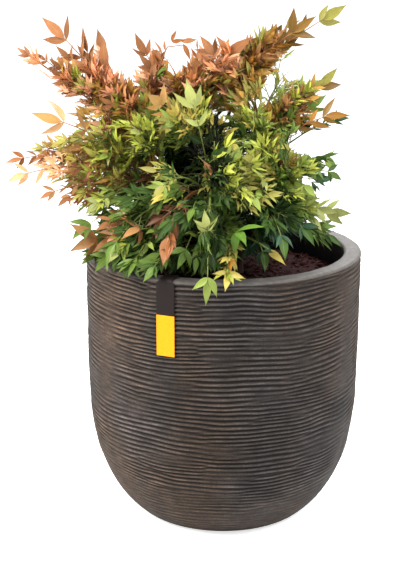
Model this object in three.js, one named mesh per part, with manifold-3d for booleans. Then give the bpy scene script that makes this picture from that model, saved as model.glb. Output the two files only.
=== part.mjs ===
// Heavenly bamboo (nandina) in a ribbed, round-bellied planter.
// Millimetres, +Z up. The origin is the centre of the planter's flat underside.
//
// The shrub has no single trunk: seven canes rise from the potting soil. Masses of foliage leave the
// canes, some on a bare leaf stalk (bough). A mass is a stem with pairs of side twigs, and pointed
// leaflets set in pairs on them. Every sub-part is one closed solid, a gap clear of the others.
import * as THREE from "three";
import { mergeVertices } from "three/addons/utils/BufferGeometryUtils.js";
import Module from "manifold-3d";

const wasm = await Module();
wasm.setup();

// ---------------------------------------------------------------- driving dimensions

// Planter: a thick-walled round pot whose wall curves in to a narrower foot.
const POT_RADIUS = 175;
const POT_HEIGHT = 345;
const FOOT_RADIUS = 107;
const BELLY_HEIGHT = 220; // the wall is upright above this
const BELLY_FALL = 3.2; // exponents of the belly's curve: how late it leaves the upright
const BELLY_TUCK = 0.76; // and how sharply it tucks in at the foot
const WALL = 22;
const FLOOR = 20;
const LIP_ROUND = 7;
const RIB_PITCH = 17;
const RIB_DEPTH = 1.6;
const POT_SIDES = 32;

// Potting soil, filled to just under the rim.
const SOIL_DROP = 30; // below the rim
const SOIL_SIDES = 20;

// Care tag: a blank strip hooked over the rim at the front left.
const TAG_WIDTH = 23;
const TAG_LENGTH = 92; // below the rim
const TAG_THICKNESS = 1.2;
const TAG_TURN = -22.3; // degrees round the pot from the front
const TAG_HOOK = 12; // how far the hook reaches down inside

// Canes, leaf stalks and twigs.
const CANE_FOOT_RADIUS = 4.6;
const CANE_TOP_RADIUS = 2.6;
const CANE_FLARE = 2.2; // extra radius of the root flare at the cut
const CANE_SIDES = 7;
const CANE_STEPS = 5;
const BOUGH_RADIUS = 2.9;
const BOUGH_SIDES = 6;
const BOUGH_STEPS = 2;
const TWIG_SIDES = 3;
const STEM_RADIUS = 2.4;
const STEM_TIP_RADIUS = 1.5;
const STEM_STEPS = 3;
const SIDE_TWIG_RADIUS = 1.15;

// Leaflets. The low, shaded masses have the larger ones.
const LEAF_LENGTH = 50;
const LEAF_WIDTH = 19;
const LEAF_THICKNESS = 1.4;
const LEAF_WIDEST = 0.4; // share of the length at which a leaflet is widest
const LEAF_ROOT = 1.8; // depth of an end leaflet's root in its twig
const LEAF_FOLD = 0.07; // how far its margins lift, as a share of the length
const LEAF_DROOP = 0.1; // how far its tip bends down, as a share of the length

const SHADE_LEAF_LENGTH = 56;
const SHADE_HEIGHT = 450; // a mass whose tip lies below this is shaded

const GAP = 0.3; // between any two solids
const SEAT_LIMIT = 0.26; // share of its line at which a limb starts at the latest
const SEAT_STEP = 0.05; // how finely that start is found
const GROUND = POT_HEIGHT - SOIL_DROP + GAP; // the canes are cut flat here

// Canes: foot on the soil, and top.
const CANES = {
  left: { foot: [-34, -6], top: [-98, -14, 488] },
  low_left: { foot: [-38, 18], top: [-112, 34, 430] },
  centre: { foot: [-14, 4], top: [-40, 4, 516] },
  right: { foot: [10, 4], top: [48, 6, 500] },
  low_right: { foot: [20, -16], top: [66, -46, 430] },
  front: { foot: [-10, -26], top: [-16, -72, 446] },
  back: { foot: [-14, 30], top: [-24, 88, 480] },
};

// Masses of foliage. Each grows on one arching line from its cane, at a share of the cane's height,
// to its furthest tip. arch is how far the line rises above straight, spread the reach of its side
// twigs, and bare the share of the line that is a bare leaf stalk; with 0 the mass starts at the cane.
const MASSES = {
  left_high: { cane: "left", at: 1, tip: [-222, -10, 634], arch: 14, spread: 78, bare: 0 },
  left_top: { cane: "left", at: 0.9, tip: [-160, 34, 616], arch: 18, spread: 68, bare: 0 },
  left_upper: { cane: "left", at: 0.7, tip: [-250, -36, 598], arch: 10, spread: 66, bare: 0 },
  left_gold: { cane: "left", at: 0.52, tip: [-234, -50, 521], arch: 18, spread: 70, bare: 0.3 },
  left_reach: { cane: "low_left", at: 0.85, tip: [-274, -10, 453], arch: 24, spread: 58, bare: 0.3 },
  left_front: { cane: "left", at: 0.42, tip: [-260, -84, 445], arch: 34, spread: 66, bare: 0.28 },
  left_low: { cane: "low_left", at: 0.66, tip: [-203, -60, 408], arch: 32, spread: 68, bare: 0.24 },
  left_rim: { cane: "low_left", at: 0.4, tip: [-182, -102, 380], arch: 30, spread: 60, bare: 0 },
  left_back: { cane: "low_left", at: 1, tip: [-206, 96, 470], arch: 28, spread: 70, bare: 0 },
  left_back_low: { cane: "low_left", at: 0.5, tip: [-160, 140, 390], arch: 36, spread: 66, bare: 0.3 },
  crown_left: { cane: "centre", at: 1, tip: [-111, 0, 613], arch: 10, spread: 66, bare: 0 },
  crown_arch: { cane: "centre", at: 0.9, tip: [-30, -30, 580], arch: 46, spread: 56, bare: 0 },
  crown_front_left: { cane: "centre", at: 0.82, tip: [-85, -110, 549], arch: 20, spread: 62, bare: 0 },
  crown_middle: { cane: "centre", at: 0.6, tip: [18, -110, 486], arch: 22, spread: 64, bare: 0 },
  crown_back: { cane: "centre", at: 0.86, tip: [-96, 118, 580], arch: 26, spread: 68, bare: 0 },
  right_high: { cane: "right", at: 1, tip: [148, 0, 647], arch: 10, spread: 62, bare: 0 },
  right_tall: { cane: "right", at: 0.76, tip: [96, 32, 621], arch: 4, spread: 64, bare: 0 },
  right_top: { cane: "right", at: 0.86, tip: [30, -30, 613], arch: 10, spread: 70, bare: 0 },
  right_upper: { cane: "right", at: 0.74, tip: [138, -20, 573], arch: 8, spread: 62, bare: 0 },
  right_back: { cane: "right", at: 0.8, tip: [100, 120, 556], arch: 30, spread: 70, bare: 0.3 },
  right_gold: { cane: "right", at: 0.58, tip: [151, -50, 521], arch: 24, spread: 62, bare: 0.3 },
  right_lime: { cane: "low_right", at: 1, tip: [90, -120, 493], arch: 22, spread: 64, bare: 0 },
  right_level: { cane: "low_right", at: 0.9, tip: [146, 20, 446], arch: 24, spread: 64, bare: 0 },
  right_reach: { cane: "low_right", at: 0.7, tip: [157, -60, 401], arch: 26, spread: 64, bare: 0 },
  right_rim: { cane: "low_right", at: 0.4, tip: [150, -40, 356], arch: 20, spread: 44, bare: 0 },
  right_back_low: { cane: "low_right", at: 0.6, tip: [130, 100, 406], arch: 34, spread: 66, bare: 0.3 },
  front_high: { cane: "front", at: 1, tip: [-44, -100, 567], arch: 8, spread: 56, bare: 0 },
  front_upper: { cane: "front", at: 0.8, tip: [-9, -150, 493], arch: 12, spread: 64, bare: 0 },
  front_left: { cane: "front", at: 0.5, tip: [-142, -136, 356], arch: 48, spread: 60, bare: 0.2 },
  front_peach: { cane: "front", at: 0.7, tip: [-72, -170, 364], arch: 45, spread: 60, bare: 0 },
  front_fall: { cane: "front", at: 0.72, tip: [-18, -196, 324], arch: 60, spread: 56, bare: 0 },
  front_right: { cane: "low_right", at: 0.5, tip: [74, -152, 368], arch: 40, spread: 60, bare: 0 },
  front_middle: { cane: "front", at: 0.85, tip: [44, -150, 424], arch: 26, spread: 64, bare: 0 },
  back_high: { cane: "back", at: 1, tip: [-18, 172, 556], arch: 24, spread: 70, bare: 0 },
  back_left: { cane: "back", at: 0.8, tip: [-124, 176, 478], arch: 34, spread: 68, bare: 0.3 },
  back_right: { cane: "back", at: 0.8, tip: [62, 184, 470], arch: 34, spread: 68, bare: 0.3 },
  back_low: { cane: "back", at: 0.45, tip: [-34, 190, 388], arch: 32, spread: 64, bare: 0.34 },
};

// The growing rule: where side twigs leave the stem, how long they are as a share of the spread, and
// how far that node is rolled round the stem. With twig 0 the node bears leaflets instead.
const NODES = [
  { at: 0.3, twig: 0.95, roll: 30 },
  { at: 0.62, twig: 0.8, roll: -25 },
  { at: 0.86, twig: 0, roll: 10 },
];
const NODE_SHIFT = 0.04; // how far along the stem a twig may stray from its node
const TWIG_ANGLE = 56; // degrees from the stem
const TWIG_LIFT = 0.22; // how far a twig may rise or sink out of its node's plane
const TWIG_DROOP = 0.14; // fall of a side twig's end, as a share of its length
const TWIG_TAPER = 0.8; // end radius of a side twig, as a share of its root's
const PAIR_AT = 0.5; // where the pair of leaflets sits on a side twig
const PAIR_SHIFT = 0.06; // how far along the twig a leaflet may stray from there
const LEAF_ANGLE = 48; // degrees from its twig
const LEAF_LIFT = 0.3; // how far a leaflet may rise or sink out of its twig's plane
const LEAF_FALL = 0.2; // how far it sinks below that plane in the mean
const LEAF_ROLL = 50; // degrees by which a leaflet may turn about its own length
const LEAF_VARIES = 0.14; // share by which a leaflet's length may stray
const WANDER = 11; // degrees by which a twig's or leaflet's angle may stray
const ROLL_WANDER = 20; // degrees by which a node's roll may stray
const TRIES = 3; // ways that a twig or leaflet is turned before it is left out

// ---------------------------------------------------------------- materials

const matt = (colour) => new THREE.MeshStandardMaterial({ color: colour, roughness: 0.8, metalness: 0 });
const MATERIALS = {
  planter: matt(0x3b3531),
  soil: matt(0x2e1a14),
  tag: matt(0xe0a01c),
  cane: matt(0x6a4a34),
  stalk: matt(0x6f6a3a),
  copper: matt(0xb8683f),
  olive: matt(0x8c8a3a),
  green: matt(0x3f6b32),
  lime: matt(0x9dae35),
};

// Young foliage is copper, old foliage green: each mass takes its colour from its place.
const COPPER_MASSES = ["left_high", "left_top", "left_upper", "left_reach", "crown_left", "crown_arch", "right_top"];
const OLIVE_MASSES = ["left_gold", "left_front", "right_high", "right_gold", "left_rim", "crown_back", "front_peach"];
const LIME_MASSES = ["right_lime", "front_high", "right_reach", "front_fall", "crown_front_left"];

function foliageMaterial(name) {
  if (COPPER_MASSES.includes(name)) return MATERIALS.copper;
  if (OLIVE_MASSES.includes(name)) return MATERIALS.olive;
  if (LIME_MASSES.includes(name)) return MATERIALS.lime;
  return MATERIALS.green;
}

// ---------------------------------------------------------------- small helpers

const UP = new THREE.Vector3(0, 0, 1);
const vector = (values) => new THREE.Vector3(...values);
const mix = THREE.MathUtils.lerp;
const radians = THREE.MathUtils.degToRad;

// A number from 0 to 1 that depends only on its keys, so each twig's chance is the same every time.
function chance(...keys) {
  let hash = 2166136261;
  for (const key of keys) {
    hash = Math.imul(hash ^ key, 16777619);
    hash ^= hash >>> 13;
  }
  hash = Math.imul(hash ^ (hash >>> 15), 2246822519);
  hash ^= hash >>> 13;
  hash = Math.imul(hash, 3266489917);
  hash ^= hash >>> 16;
  return (hash >>> 0) / 4294967296;
}

// A chance spread evenly about 0, from -amount to amount.
const stray = (amount, ...keys) => (2 * chance(...keys) - 1) * amount;

function solidOf(geometry) {
  const bare = geometry.clone();
  bare.deleteAttribute("normal");
  bare.deleteAttribute("uv");
  const merged = mergeVertices(bare, 1e-4);
  const mesh = new wasm.Mesh({
    numProp: 3,
    vertProperties: merged.getAttribute("position").array,
    triVerts: new Uint32Array(merged.index.array),
  });
  return new wasm.Manifold(mesh);
}

function geometryOf(solid) {
  const mesh = solid.getMesh();
  const geometry = new THREE.BufferGeometry();
  geometry.setAttribute("position", new THREE.BufferAttribute(mesh.vertProperties, 3));
  geometry.setIndex(new THREE.BufferAttribute(mesh.triVerts, 1));
  geometry.computeVertexNormals();
  return geometry;
}

// The frame of a curve at t: its point, its tangent, and the directions across and over it.
function frameAt(curve, t) {
  const along = curve.getTangent(t);
  const chord = curve.getPoint(1).sub(curve.getPoint(0)).normalize();
  const reference = Math.abs(chord.z) > 0.9 ? vector([0, 1, 0]) : UP;
  const across = along.clone().cross(reference).normalize();
  const over = across.clone().cross(along);
  return { point: curve.getPoint(t), along, across, over };
}

// A frame turned round its own tangent by an angle.
function rolled({ point, along, across, over }, angle) {
  const turn = (direction) => direction.clone().applyAxisAngle(along, radians(angle));
  return { point, along, across: turn(across), over: turn(over) };
}

// Part of a curve, from t0 to t1 as shares of its length, as a curve of its own.
class Stretch extends THREE.Curve {
  constructor(curve, t0, t1) {
    super();
    this.whole = curve;
    this.t0 = t0;
    this.t1 = t1;
  }

  getPoint(t, target = new THREE.Vector3()) {
    return this.whole.getPointAt(mix(this.t0, this.t1, t), target);
  }

  getTangent(t, target = new THREE.Vector3()) {
    return this.whole.getTangentAt(mix(this.t0, this.t1, t), target);
  }
}

// A curve's own points at even steps, joined by straight lines, as the rings of a tube are.
class Chords extends THREE.Curve {
  constructor(curve, steps) {
    super();
    this.corners = Array.from({ length: steps + 1 }, (_, i) => curve.getPoint(i / steps));
  }

  getPoint(t, target = new THREE.Vector3()) {
    const steps = this.corners.length - 1;
    const first = Math.min(Math.floor(t * steps), steps - 1);
    return target.lerpVectors(this.corners[first], this.corners[first + 1], t * steps - first);
  }
}

// A closed tube round a curve: a unit cylinder whose rings are carried along it. Each end is closed
// by a fan from its first corner.
function tube(curve, radiusAt, sides, steps) {
  const geometry = new THREE.CylinderGeometry(1, 1, 1, sides, steps, true);
  const position = geometry.getAttribute("position");
  for (let i = 0; i < position.count; i++) {
    const t = THREE.MathUtils.clamp(position.getY(i) + 0.5, 0, 1);
    const { point, across, over } = frameAt(curve, t);
    const radius = radiusAt(t);
    point.addScaledVector(across, position.getX(i) * radius);
    point.addScaledVector(over, position.getZ(i) * radius);
    position.setXYZ(i, point.x, point.y, point.z);
  }
  const caps = [];
  const last = steps * (sides + 1); // the index of the last ring's first corner
  for (let i = 1; i < sides - 1; i++) caps.push(0, i, i + 1, last, last + i + 1, last + i);
  geometry.setIndex([...geometry.index.array, ...caps]);
  return solidOf(geometry);
}

// ---------------------------------------------------------------- planter, soil and tag

// The wall's radius at a height: upright above the belly, then curving in to the foot.
function potRadius(z) {
  const fall = THREE.MathUtils.clamp((BELLY_HEIGHT - z) / BELLY_HEIGHT, 0, 1);
  return FOOT_RADIUS + (POT_RADIUS - FOOT_RADIUS) * (1 - fall ** BELLY_FALL) ** BELLY_TUCK;
}

// The outer line runs up from the foot in ribs, over the rounded lip and down the inside.
function potProfile() {
  const line = [new THREE.Vector2(0, 0), new THREE.Vector2(FOOT_RADIUS, 0)];
  const ribs = Math.floor((POT_HEIGHT - 2 * LIP_ROUND) / RIB_PITCH);
  for (let rib = 1; rib < ribs; rib++) {
    const groove = (rib - 1 / 3) * RIB_PITCH;
    const crest = (rib + 1 / 6) * RIB_PITCH;
    line.push(new THREE.Vector2(potRadius(groove) - RIB_DEPTH, groove));
    line.push(new THREE.Vector2(potRadius(crest), crest));
  }
  line.push(new THREE.Vector2(POT_RADIUS, POT_HEIGHT - LIP_ROUND));
  line.push(new THREE.Vector2(POT_RADIUS - 0.3 * LIP_ROUND, POT_HEIGHT - 0.3 * LIP_ROUND));
  line.push(new THREE.Vector2(POT_RADIUS - LIP_ROUND, POT_HEIGHT));
  line.push(new THREE.Vector2(POT_RADIUS - WALL + LIP_ROUND / 2, POT_HEIGHT));
  line.push(new THREE.Vector2(POT_RADIUS - WALL, POT_HEIGHT - LIP_ROUND / 2));
  for (const z of [BELLY_HEIGHT, BELLY_HEIGHT * 0.6, BELLY_HEIGHT * 0.3, FLOOR]) {
    line.push(new THREE.Vector2(potRadius(z) - WALL, z));
  }
  line.push(new THREE.Vector2(0, FLOOR));
  return line;
}

// LatheGeometry turns about +Y; this stands it on +Z.
function turned(profile, sides) {
  return solidOf(new THREE.LatheGeometry(profile, sides).rotateX(Math.PI / 2));
}

function makePot() {
  return turned(potProfile(), POT_SIDES);
}

// The soil fills the pot to a gap from its wall, with a flat top that sinks a little at the edge.
function makeSoil() {
  const facetGap = POT_RADIUS * (1 - Math.cos(Math.PI / POT_SIDES));
  const inset = WALL + GAP + facetGap;
  const top = POT_HEIGHT - SOIL_DROP;
  const line = [new THREE.Vector2(0, FLOOR + GAP)];
  for (const z of [FLOOR + GAP, BELLY_HEIGHT * 0.3, BELLY_HEIGHT * 0.6, BELLY_HEIGHT]) {
    line.push(new THREE.Vector2(potRadius(z) - inset - GAP, z));
  }
  line.push(new THREE.Vector2(POT_RADIUS - inset, top - 4));
  line.push(new THREE.Vector2(POT_RADIUS - inset - 20, top));
  line.push(new THREE.Vector2(0, top));
  return turned(line, SOIL_SIDES);
}

// The tag's side outline, bent over the rim, is extruded to its width and turned to its place. Its
// hook is flat, so it stands as far in as the round wall needs at the tag's edges.
function makeTag() {
  const rise = POT_HEIGHT + GAP;
  const outside = -(POT_RADIUS + GAP);
  const wall = (POT_RADIUS - WALL) * Math.cos(Math.PI / POT_SIDES);
  const inside = GAP - Math.sqrt(wall ** 2 - (TAG_WIDTH / 2) ** 2);
  const low = rise - TAG_LENGTH;
  const outline = new THREE.Shape();
  outline.moveTo(outside, low);
  outline.lineTo(outside, rise);
  outline.lineTo(inside, rise);
  outline.lineTo(inside, rise - TAG_HOOK);
  outline.lineTo(inside + TAG_THICKNESS, rise - TAG_HOOK);
  outline.lineTo(inside + TAG_THICKNESS, rise + TAG_THICKNESS);
  outline.lineTo(outside - TAG_THICKNESS, rise + TAG_THICKNESS);
  outline.lineTo(outside - TAG_THICKNESS, low);
  outline.closePath();
  const strip = new THREE.ExtrudeGeometry(outline, { depth: TAG_WIDTH, bevelEnabled: false });
  strip.translate(0, 0, -TAG_WIDTH / 2);
  strip.rotateX(Math.PI / 2);
  strip.rotateZ(Math.PI / 2 + radians(TAG_TURN));
  return solidOf(strip);
}

// ---------------------------------------------------------------- canes and leaf stalks

// A cane starts upright, so that its foot is a flat cut, and bends to its top.
function caneCurve({ foot, top }) {
  const start = vector([...foot, GROUND]);
  const bend = vector([...foot, mix(GROUND, top[2], 0.55)]);
  return new THREE.QuadraticBezierCurve3(start, bend, vector(top));
}

function caneRadius(t, height) {
  return mix(CANE_FOOT_RADIUS, CANE_TOP_RADIUS, t) + CANE_FLARE * Math.exp((-t * height) / 9);
}

// The line of one mass, from the cane's middle to the furthest tip.
function massCurve({ cane, at, tip, arch }) {
  const start = caneCurve(CANES[cane]).getPoint(at);
  const end = vector(tip);
  const middle = start.clone().lerp(end, 0.5).addScaledVector(UP, 2 * arch);
  return new THREE.QuadraticBezierCurve3(start, middle, end);
}

// Where a limb starts on its line, as a share of the length: it is moved up to its cane until only
// the gap is left. limbFrom gives the limb's solid for a start.
function seatOf(line, cane, limbFrom) {
  const step = SEAT_STEP / line.getLength();
  let [near, far] = [0, SEAT_LIMIT];
  while (far - near > step) {
    const middle = (near + far) / 2;
    if (touches(limbFrom(middle), cane)) near = middle;
    else far = middle;
  }
  return far;
}

function boughRadius(t) {
  return mix(BOUGH_RADIUS, STEM_RADIUS, t);
}

function stemRadius(t) {
  return mix(STEM_RADIUS, STEM_TIP_RADIUS, t);
}

// ---------------------------------------------------------------- foliage

// A leaflet of 8 faces: an octahedron drawn out to a pointed blade, folded along its midrib.
function leaf(base, direction, over, length) {
  const geometry = new THREE.OctahedronGeometry(1, 0);
  const position = geometry.getAttribute("position");
  const across = over.clone().cross(direction).normalize();
  const upward = direction.clone().cross(across);
  const width = (LEAF_WIDTH * length) / LEAF_LENGTH;
  for (let i = 0; i < position.count; i++) {
    const along = Math.round(position.getX(i));
    const side = Math.round(position.getY(i));
    const face = Math.round(position.getZ(i));
    const reach = { "-1": 0, 0: LEAF_WIDEST, 1: 1 }[along] * length;
    const fold = Math.abs(side) * LEAF_FOLD * length;
    const droop = along === 1 ? LEAF_DROOP * length : 0;
    const point = base.clone().addScaledVector(direction, reach);
    point.addScaledVector(across, (side * width) / 2);
    point.addScaledVector(upward, (face * LEAF_THICKNESS) / 2 + fold - droop);
    position.setXYZ(i, point.x, point.y, point.z);
  }
  return solidOf(geometry);
}

// The way a twig or leaflet sets off: at an angle to a frame's tangent, to one side (-1 or 1), and
// lifted out of its plane, or dropped below it.
function heading({ along, across, over }, angle, side, lift) {
  const direction = along.clone().multiplyScalar(Math.cos(radians(angle)));
  direction.addScaledVector(across, side * Math.sin(radians(angle)));
  return direction.addScaledVector(over, lift).normalize();
}

// The low, shaded masses have the larger leaflets.
function leafLengthOf({ tip }) {
  return tip[2] < SHADE_HEIGHT ? SHADE_LEAF_LENGTH : LEAF_LENGTH;
}

// One mass while it grows. others are the solids that it keeps clear of.
class Mass {
  constructor(seed, stem, leafLength, others) {
    this.seed = seed;
    this.leafLength = leafLength;
    this.others = others;
    this.root = { solid: tube(stem, stemRadius, TWIG_SIDES, STEM_STEPS) };
    this.pieces = [this.root];
  }

  // Adds a piece that grows on another. It may touch that one and its own pair, which spring from
  // one point. Where it meets anything else it is turned another way, and at last left out.
  add(on, pair, make) {
    const partner = (other) => other === on || (other.on === on && other.pair === pair);
    const rest = this.pieces.filter((other) => !partner(other)).map((other) => other.solid);
    const near = [...this.others, ...rest];
    for (let attempt = 0; attempt < TRIES; attempt++) {
      const piece = { on, pair, ...make(attempt) };
      if (near.some((solid) => touches(piece.solid, solid))) continue;
      this.pieces.push(piece);
      return piece;
    }
    return null;
  }

  // Adds a leaflet. towards gives its direction at each attempt, and over the side that faces up.
  addLeaf(on, pair, point, towards, over, ...keys) {
    const length = this.leafLength * (1 + stray(LEAF_VARIES, this.seed, ...keys, 5));
    this.add(on, pair, (attempt) => {
      const along = towards(attempt);
      const roll = stray(LEAF_ROLL, this.seed, ...keys, attempt, 6);
      return { solid: leaf(point, along, over.clone().applyAxisAngle(along, radians(roll)), length) };
    });
  }
}

// One leaflet points to the mass's tip. Pairs of side twigs leave the stem, and a pair of leaflets.
function growStem(mass, stem, { spread, tip }) {
  const path = new Chords(stem, STEM_STEPS);
  const end = frameAt(path, 1 - LEAF_ROOT / path.getLength());
  const aim = vector(tip).sub(end.point).normalize();
  mass.addLeaf(mass.root, NODES.length, end.point, () => aim, end.over, NODES.length, 0);
  NODES.forEach(({ at, twig, roll }, node) => {
    for (const side of [-1, 1]) {
      const keys = [node, side];
      const turn = roll + stray(ROLL_WANDER, mass.seed, node);
      const here = rolled(frameAt(path, at + stray(NODE_SHIFT, mass.seed, ...keys)), turn);
      const towards = (attempt) => {
        const angle = TWIG_ANGLE + stray(WANDER, mass.seed, ...keys, attempt, 1);
        const lift = (1 + attempt) * stray(TWIG_LIFT, mass.seed, ...keys, attempt, 2);
        return heading(here, angle, side, lift);
      };
      if (twig === 0) mass.addLeaf(mass.root, node, here.point, towards, here.over, ...keys);
      else growTwig(mass, here.point, towards, spread * twig, ...keys);
    }
  });
}

// A side twig droops a little. It carries a pair of leaflets and ends in a third. spread is the
// reach to that one's tip.
function growTwig(mass, start, towards, spread, node, side) {
  const length = Math.max(spread - mass.leafLength, mass.leafLength / 3);
  const twig = mass.add(mass.root, node, (attempt) => {
    const end = start.clone().addScaledVector(towards(attempt), length);
    end.addScaledVector(UP, -TWIG_DROOP * length);
    const line = new THREE.LineCurve3(start, end);
    return { line, solid: tube(line, (t) => SIDE_TWIG_RADIUS * mix(1, TWIG_TAPER, t), TWIG_SIDES, 1) };
  });
  if (!twig) return;
  const frame = frameAt(twig.line, 0.5);
  for (const hand of [-1, 1]) {
    const keys = [node, side, hand];
    const point = twig.line.getPoint(PAIR_AT + stray(PAIR_SHIFT, mass.seed, ...keys));
    const leaving = (attempt) => {
      const angle = LEAF_ANGLE + stray(WANDER, mass.seed, ...keys, attempt, 3);
      return heading(frame, angle, hand, stray(LEAF_LIFT, mass.seed, ...keys, attempt, 4) - LEAF_FALL);
    };
    mass.addLeaf(twig, 0, point, leaving, frame.over, ...keys);
  }
  const tip = twig.line.getPoint(1 - LEAF_ROOT / twig.line.getLength());
  mass.addLeaf(twig, 1, tip, () => frame.along, frame.over, node, side, 0);
}

function boxesMeet(a, b) {
  const [p, q] = [a.boundingBox(), b.boundingBox()];
  return [0, 1, 2].every((axis) => p.min[axis] < q.max[axis] + GAP && q.min[axis] < p.max[axis] + GAP);
}

// Whether a piece comes closer than the gap to a solid: the piece is moved by the gap each way.
function touches(piece, solid) {
  if (!boxesMeet(piece, solid)) return false;
  const nudges = [-GAP, GAP].flatMap((d) => [[d, 0, 0], [0, d, 0], [0, 0, d]]);
  return nudges.some((nudge) => piece.translate(nudge).intersect(solid).volume() > 0);
}

// ---------------------------------------------------------------- assembly

const shrub = new THREE.Group();

function addNode(name, solid, material) {
  const mesh = new THREE.Mesh(geometryOf(solid), material);
  mesh.name = name;
  shrub.add(mesh);
}

const pot = makePot();
const soil = makeSoil();
const tag = makeTag();
addNode("planter", pot, MATERIALS.planter);
addNode("potting_soil", soil, MATERIALS.soil);
addNode("care_tag", tag, MATERIALS.tag);

const canes = {};
for (const [name, cane] of Object.entries(CANES)) {
  const height = cane.top[2] - GROUND;
  canes[name] = tube(caneCurve(cane), (t) => caneRadius(t, height), CANE_SIDES, CANE_STEPS);
  addNode(`cane_${name}`, canes[name], MATERIALS.cane);
}

// Leaf stalks come before the foliage, so that every mass can keep clear of all of them.
const limbs = Object.values(canes);
const stems = {};
for (const [name, mass] of Object.entries(MASSES)) {
  const line = massCurve(mass);
  const last = 1 - leafLengthOf(mass) / line.getLength();
  if (mass.bare === 0) {
    const stemFrom = (start) => tube(new Stretch(line, start, last), stemRadius, TWIG_SIDES, STEM_STEPS);
    stems[name] = new Stretch(line, seatOf(line, canes[mass.cane], stemFrom), last);
    continue;
  }
  const boughFrom = (start) => tube(new Stretch(line, start, mass.bare), boughRadius, BOUGH_SIDES, BOUGH_STEPS);
  const bough = boughFrom(seatOf(line, canes[mass.cane], boughFrom));
  limbs.push(bough);
  addNode(`bough_${name}`, bough, MATERIALS.stalk);
  stems[name] = new Stretch(line, mass.bare + GAP / line.getLength(), last);
}

// All stems are placed before any side twig, so that no mass grows through another's stem.
const stemSolids = Object.entries(stems).map(([name, stem]) => [name, tube(stem, stemRadius, TWIG_SIDES, STEM_STEPS)]);
const done = [pot, soil, tag, ...limbs];
Object.entries(stems).forEach(([name, stem], index) => {
  const others = [...done, ...stemSolids.filter(([other]) => other !== name).map(([, solid]) => solid)];
  const mass = new Mass(index + 1, stem, leafLengthOf(MASSES[name]), others);
  growStem(mass, stem, MASSES[name]);
  const fused = mass.pieces.map((piece) => piece.solid).reduce((sum, solid) => sum.add(solid));
  const [whole] = fused.decompose().sort((a, b) => b.volume() - a.volume());
  done.push(whole);
  addNode(`foliage_${name}`, whole, foliageMaterial(name));
});

export default shrub;
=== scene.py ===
# %% [markdown]
# # Heavenly bamboo in a ribbed planter
# A nandina is a small shrub whose canes rise from the soil and carry large, feathery leaves. Each leaf
# is a stem with pairs of side twigs, and each twig bears pairs of pointed leaflets. Young sprays are
# copper and salmon, older ones olive, lime and at last deep green. The shrub stands in a thick-walled
# pot with wavy ribs.
#
# The frame holds the pot, the soil, a tag, seven canes, twelve bare leaf stalks and 37 masses of
# foliage as plain solids. Here every one of them is replaced by a finished mesh in the same place.

# %% Load the frame
import math

import bpy
import numpy as np
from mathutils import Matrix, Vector


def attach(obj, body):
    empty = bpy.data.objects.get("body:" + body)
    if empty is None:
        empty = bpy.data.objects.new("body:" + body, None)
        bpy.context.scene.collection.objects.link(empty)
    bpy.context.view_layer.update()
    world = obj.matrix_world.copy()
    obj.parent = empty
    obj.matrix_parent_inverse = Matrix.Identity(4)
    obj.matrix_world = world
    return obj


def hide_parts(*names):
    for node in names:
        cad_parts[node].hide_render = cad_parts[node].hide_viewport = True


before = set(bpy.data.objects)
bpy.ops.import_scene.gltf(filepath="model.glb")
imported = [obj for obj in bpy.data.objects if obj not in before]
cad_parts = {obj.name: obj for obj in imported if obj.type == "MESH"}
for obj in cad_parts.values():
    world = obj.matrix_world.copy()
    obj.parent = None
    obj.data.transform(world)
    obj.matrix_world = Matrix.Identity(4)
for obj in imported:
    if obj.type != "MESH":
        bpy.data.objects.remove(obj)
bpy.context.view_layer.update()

MM = 0.001  # every length below is in millimetres; the scene is in metres
print("nodes in the frame:", len(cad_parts))

# %% [markdown]
# ## Camera
# The view is a product view from a little above: the pot's rim shows as a flat ellipse and its
# underside is hidden. A long lens keeps the sides of the pot nearly parallel. The camera is aimed at a
# point rather than shifted, so that any other view round the plant stays centred.

# %% Camera
CAMERA_DISTANCE = 1642  # from the middle of the belly
CAMERA_RISE = 18.94  # degrees above level
BELLY_MIDDLE = 200
AIM = (-29.6, 0, 294.9)
LENS = 79.5
SENSOR = 36
PICTURE = (400, 568)


def add_camera():
    """The camera stands on a circle round the belly's middle and looks at AIM."""
    rise = math.radians(CAMERA_RISE)
    place = Vector((0, -CAMERA_DISTANCE * math.cos(rise), BELLY_MIDDLE + CAMERA_DISTANCE * math.sin(rise)))
    camera = bpy.data.objects.new("camera", bpy.data.cameras.new("camera"))
    camera.data.lens = LENS
    camera.data.sensor_width = SENSOR
    camera.location = place * MM
    camera.rotation_euler = (Vector(AIM) - place).to_track_quat("-Z", "Y").to_euler()
    bpy.context.collection.objects.link(camera)
    bpy.context.scene.camera = camera
    return camera


def seen_at(points):
    """Where points in millimetres are seen, in pixels of the 400 by 568 picture.

    Each point is measured along the camera's right, up and forward directions; right / forward and
    up / forward times the lens over the sensor give the place.
    """
    right, up, back = (np.array(axis) for axis in camera.rotation_euler.to_matrix().transposed())
    offset = points - np.array(camera.location) / MM
    scale = LENS / SENSOR * PICTURE[1] / (offset @ -back)
    return np.stack([PICTURE[0] / 2 + offset @ right * scale, PICTURE[1] / 2 - offset @ up * scale], -1)


camera = add_camera()
print("camera at", [round(value, 3) for value in camera.location])

# %% [markdown]
# ## Light
# A pale studio: an even world, a soft warm key light above the front left, a weaker and cooler one at
# the right, and one behind that catches the upper leaves. Large lamps give the soft shadows that let the
# inside of the crown go dark without hard edges. The world is seen as plain white, but it lights the
# plant with less than that, so the shade stays deep. The plain view transform keeps the colours clear.

# %% Light
LAMPS = {
    # name: (place, aim, size, watts, colour)
    "key": ((-1400, -850, 1650), (0, 0, 400), 800, 62, (1.0, 0.96, 0.9)),
    "fill": ((1250, -700, 1750), (0, 0, 400), 1000, 42, (0.95, 0.98, 1.0)),
    "back": ((300, 1300, 1700), (0, 0, 420), 1000, 34, (1.0, 1.0, 1.0)),
}
WORLD_LIGHT = 0.84


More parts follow.
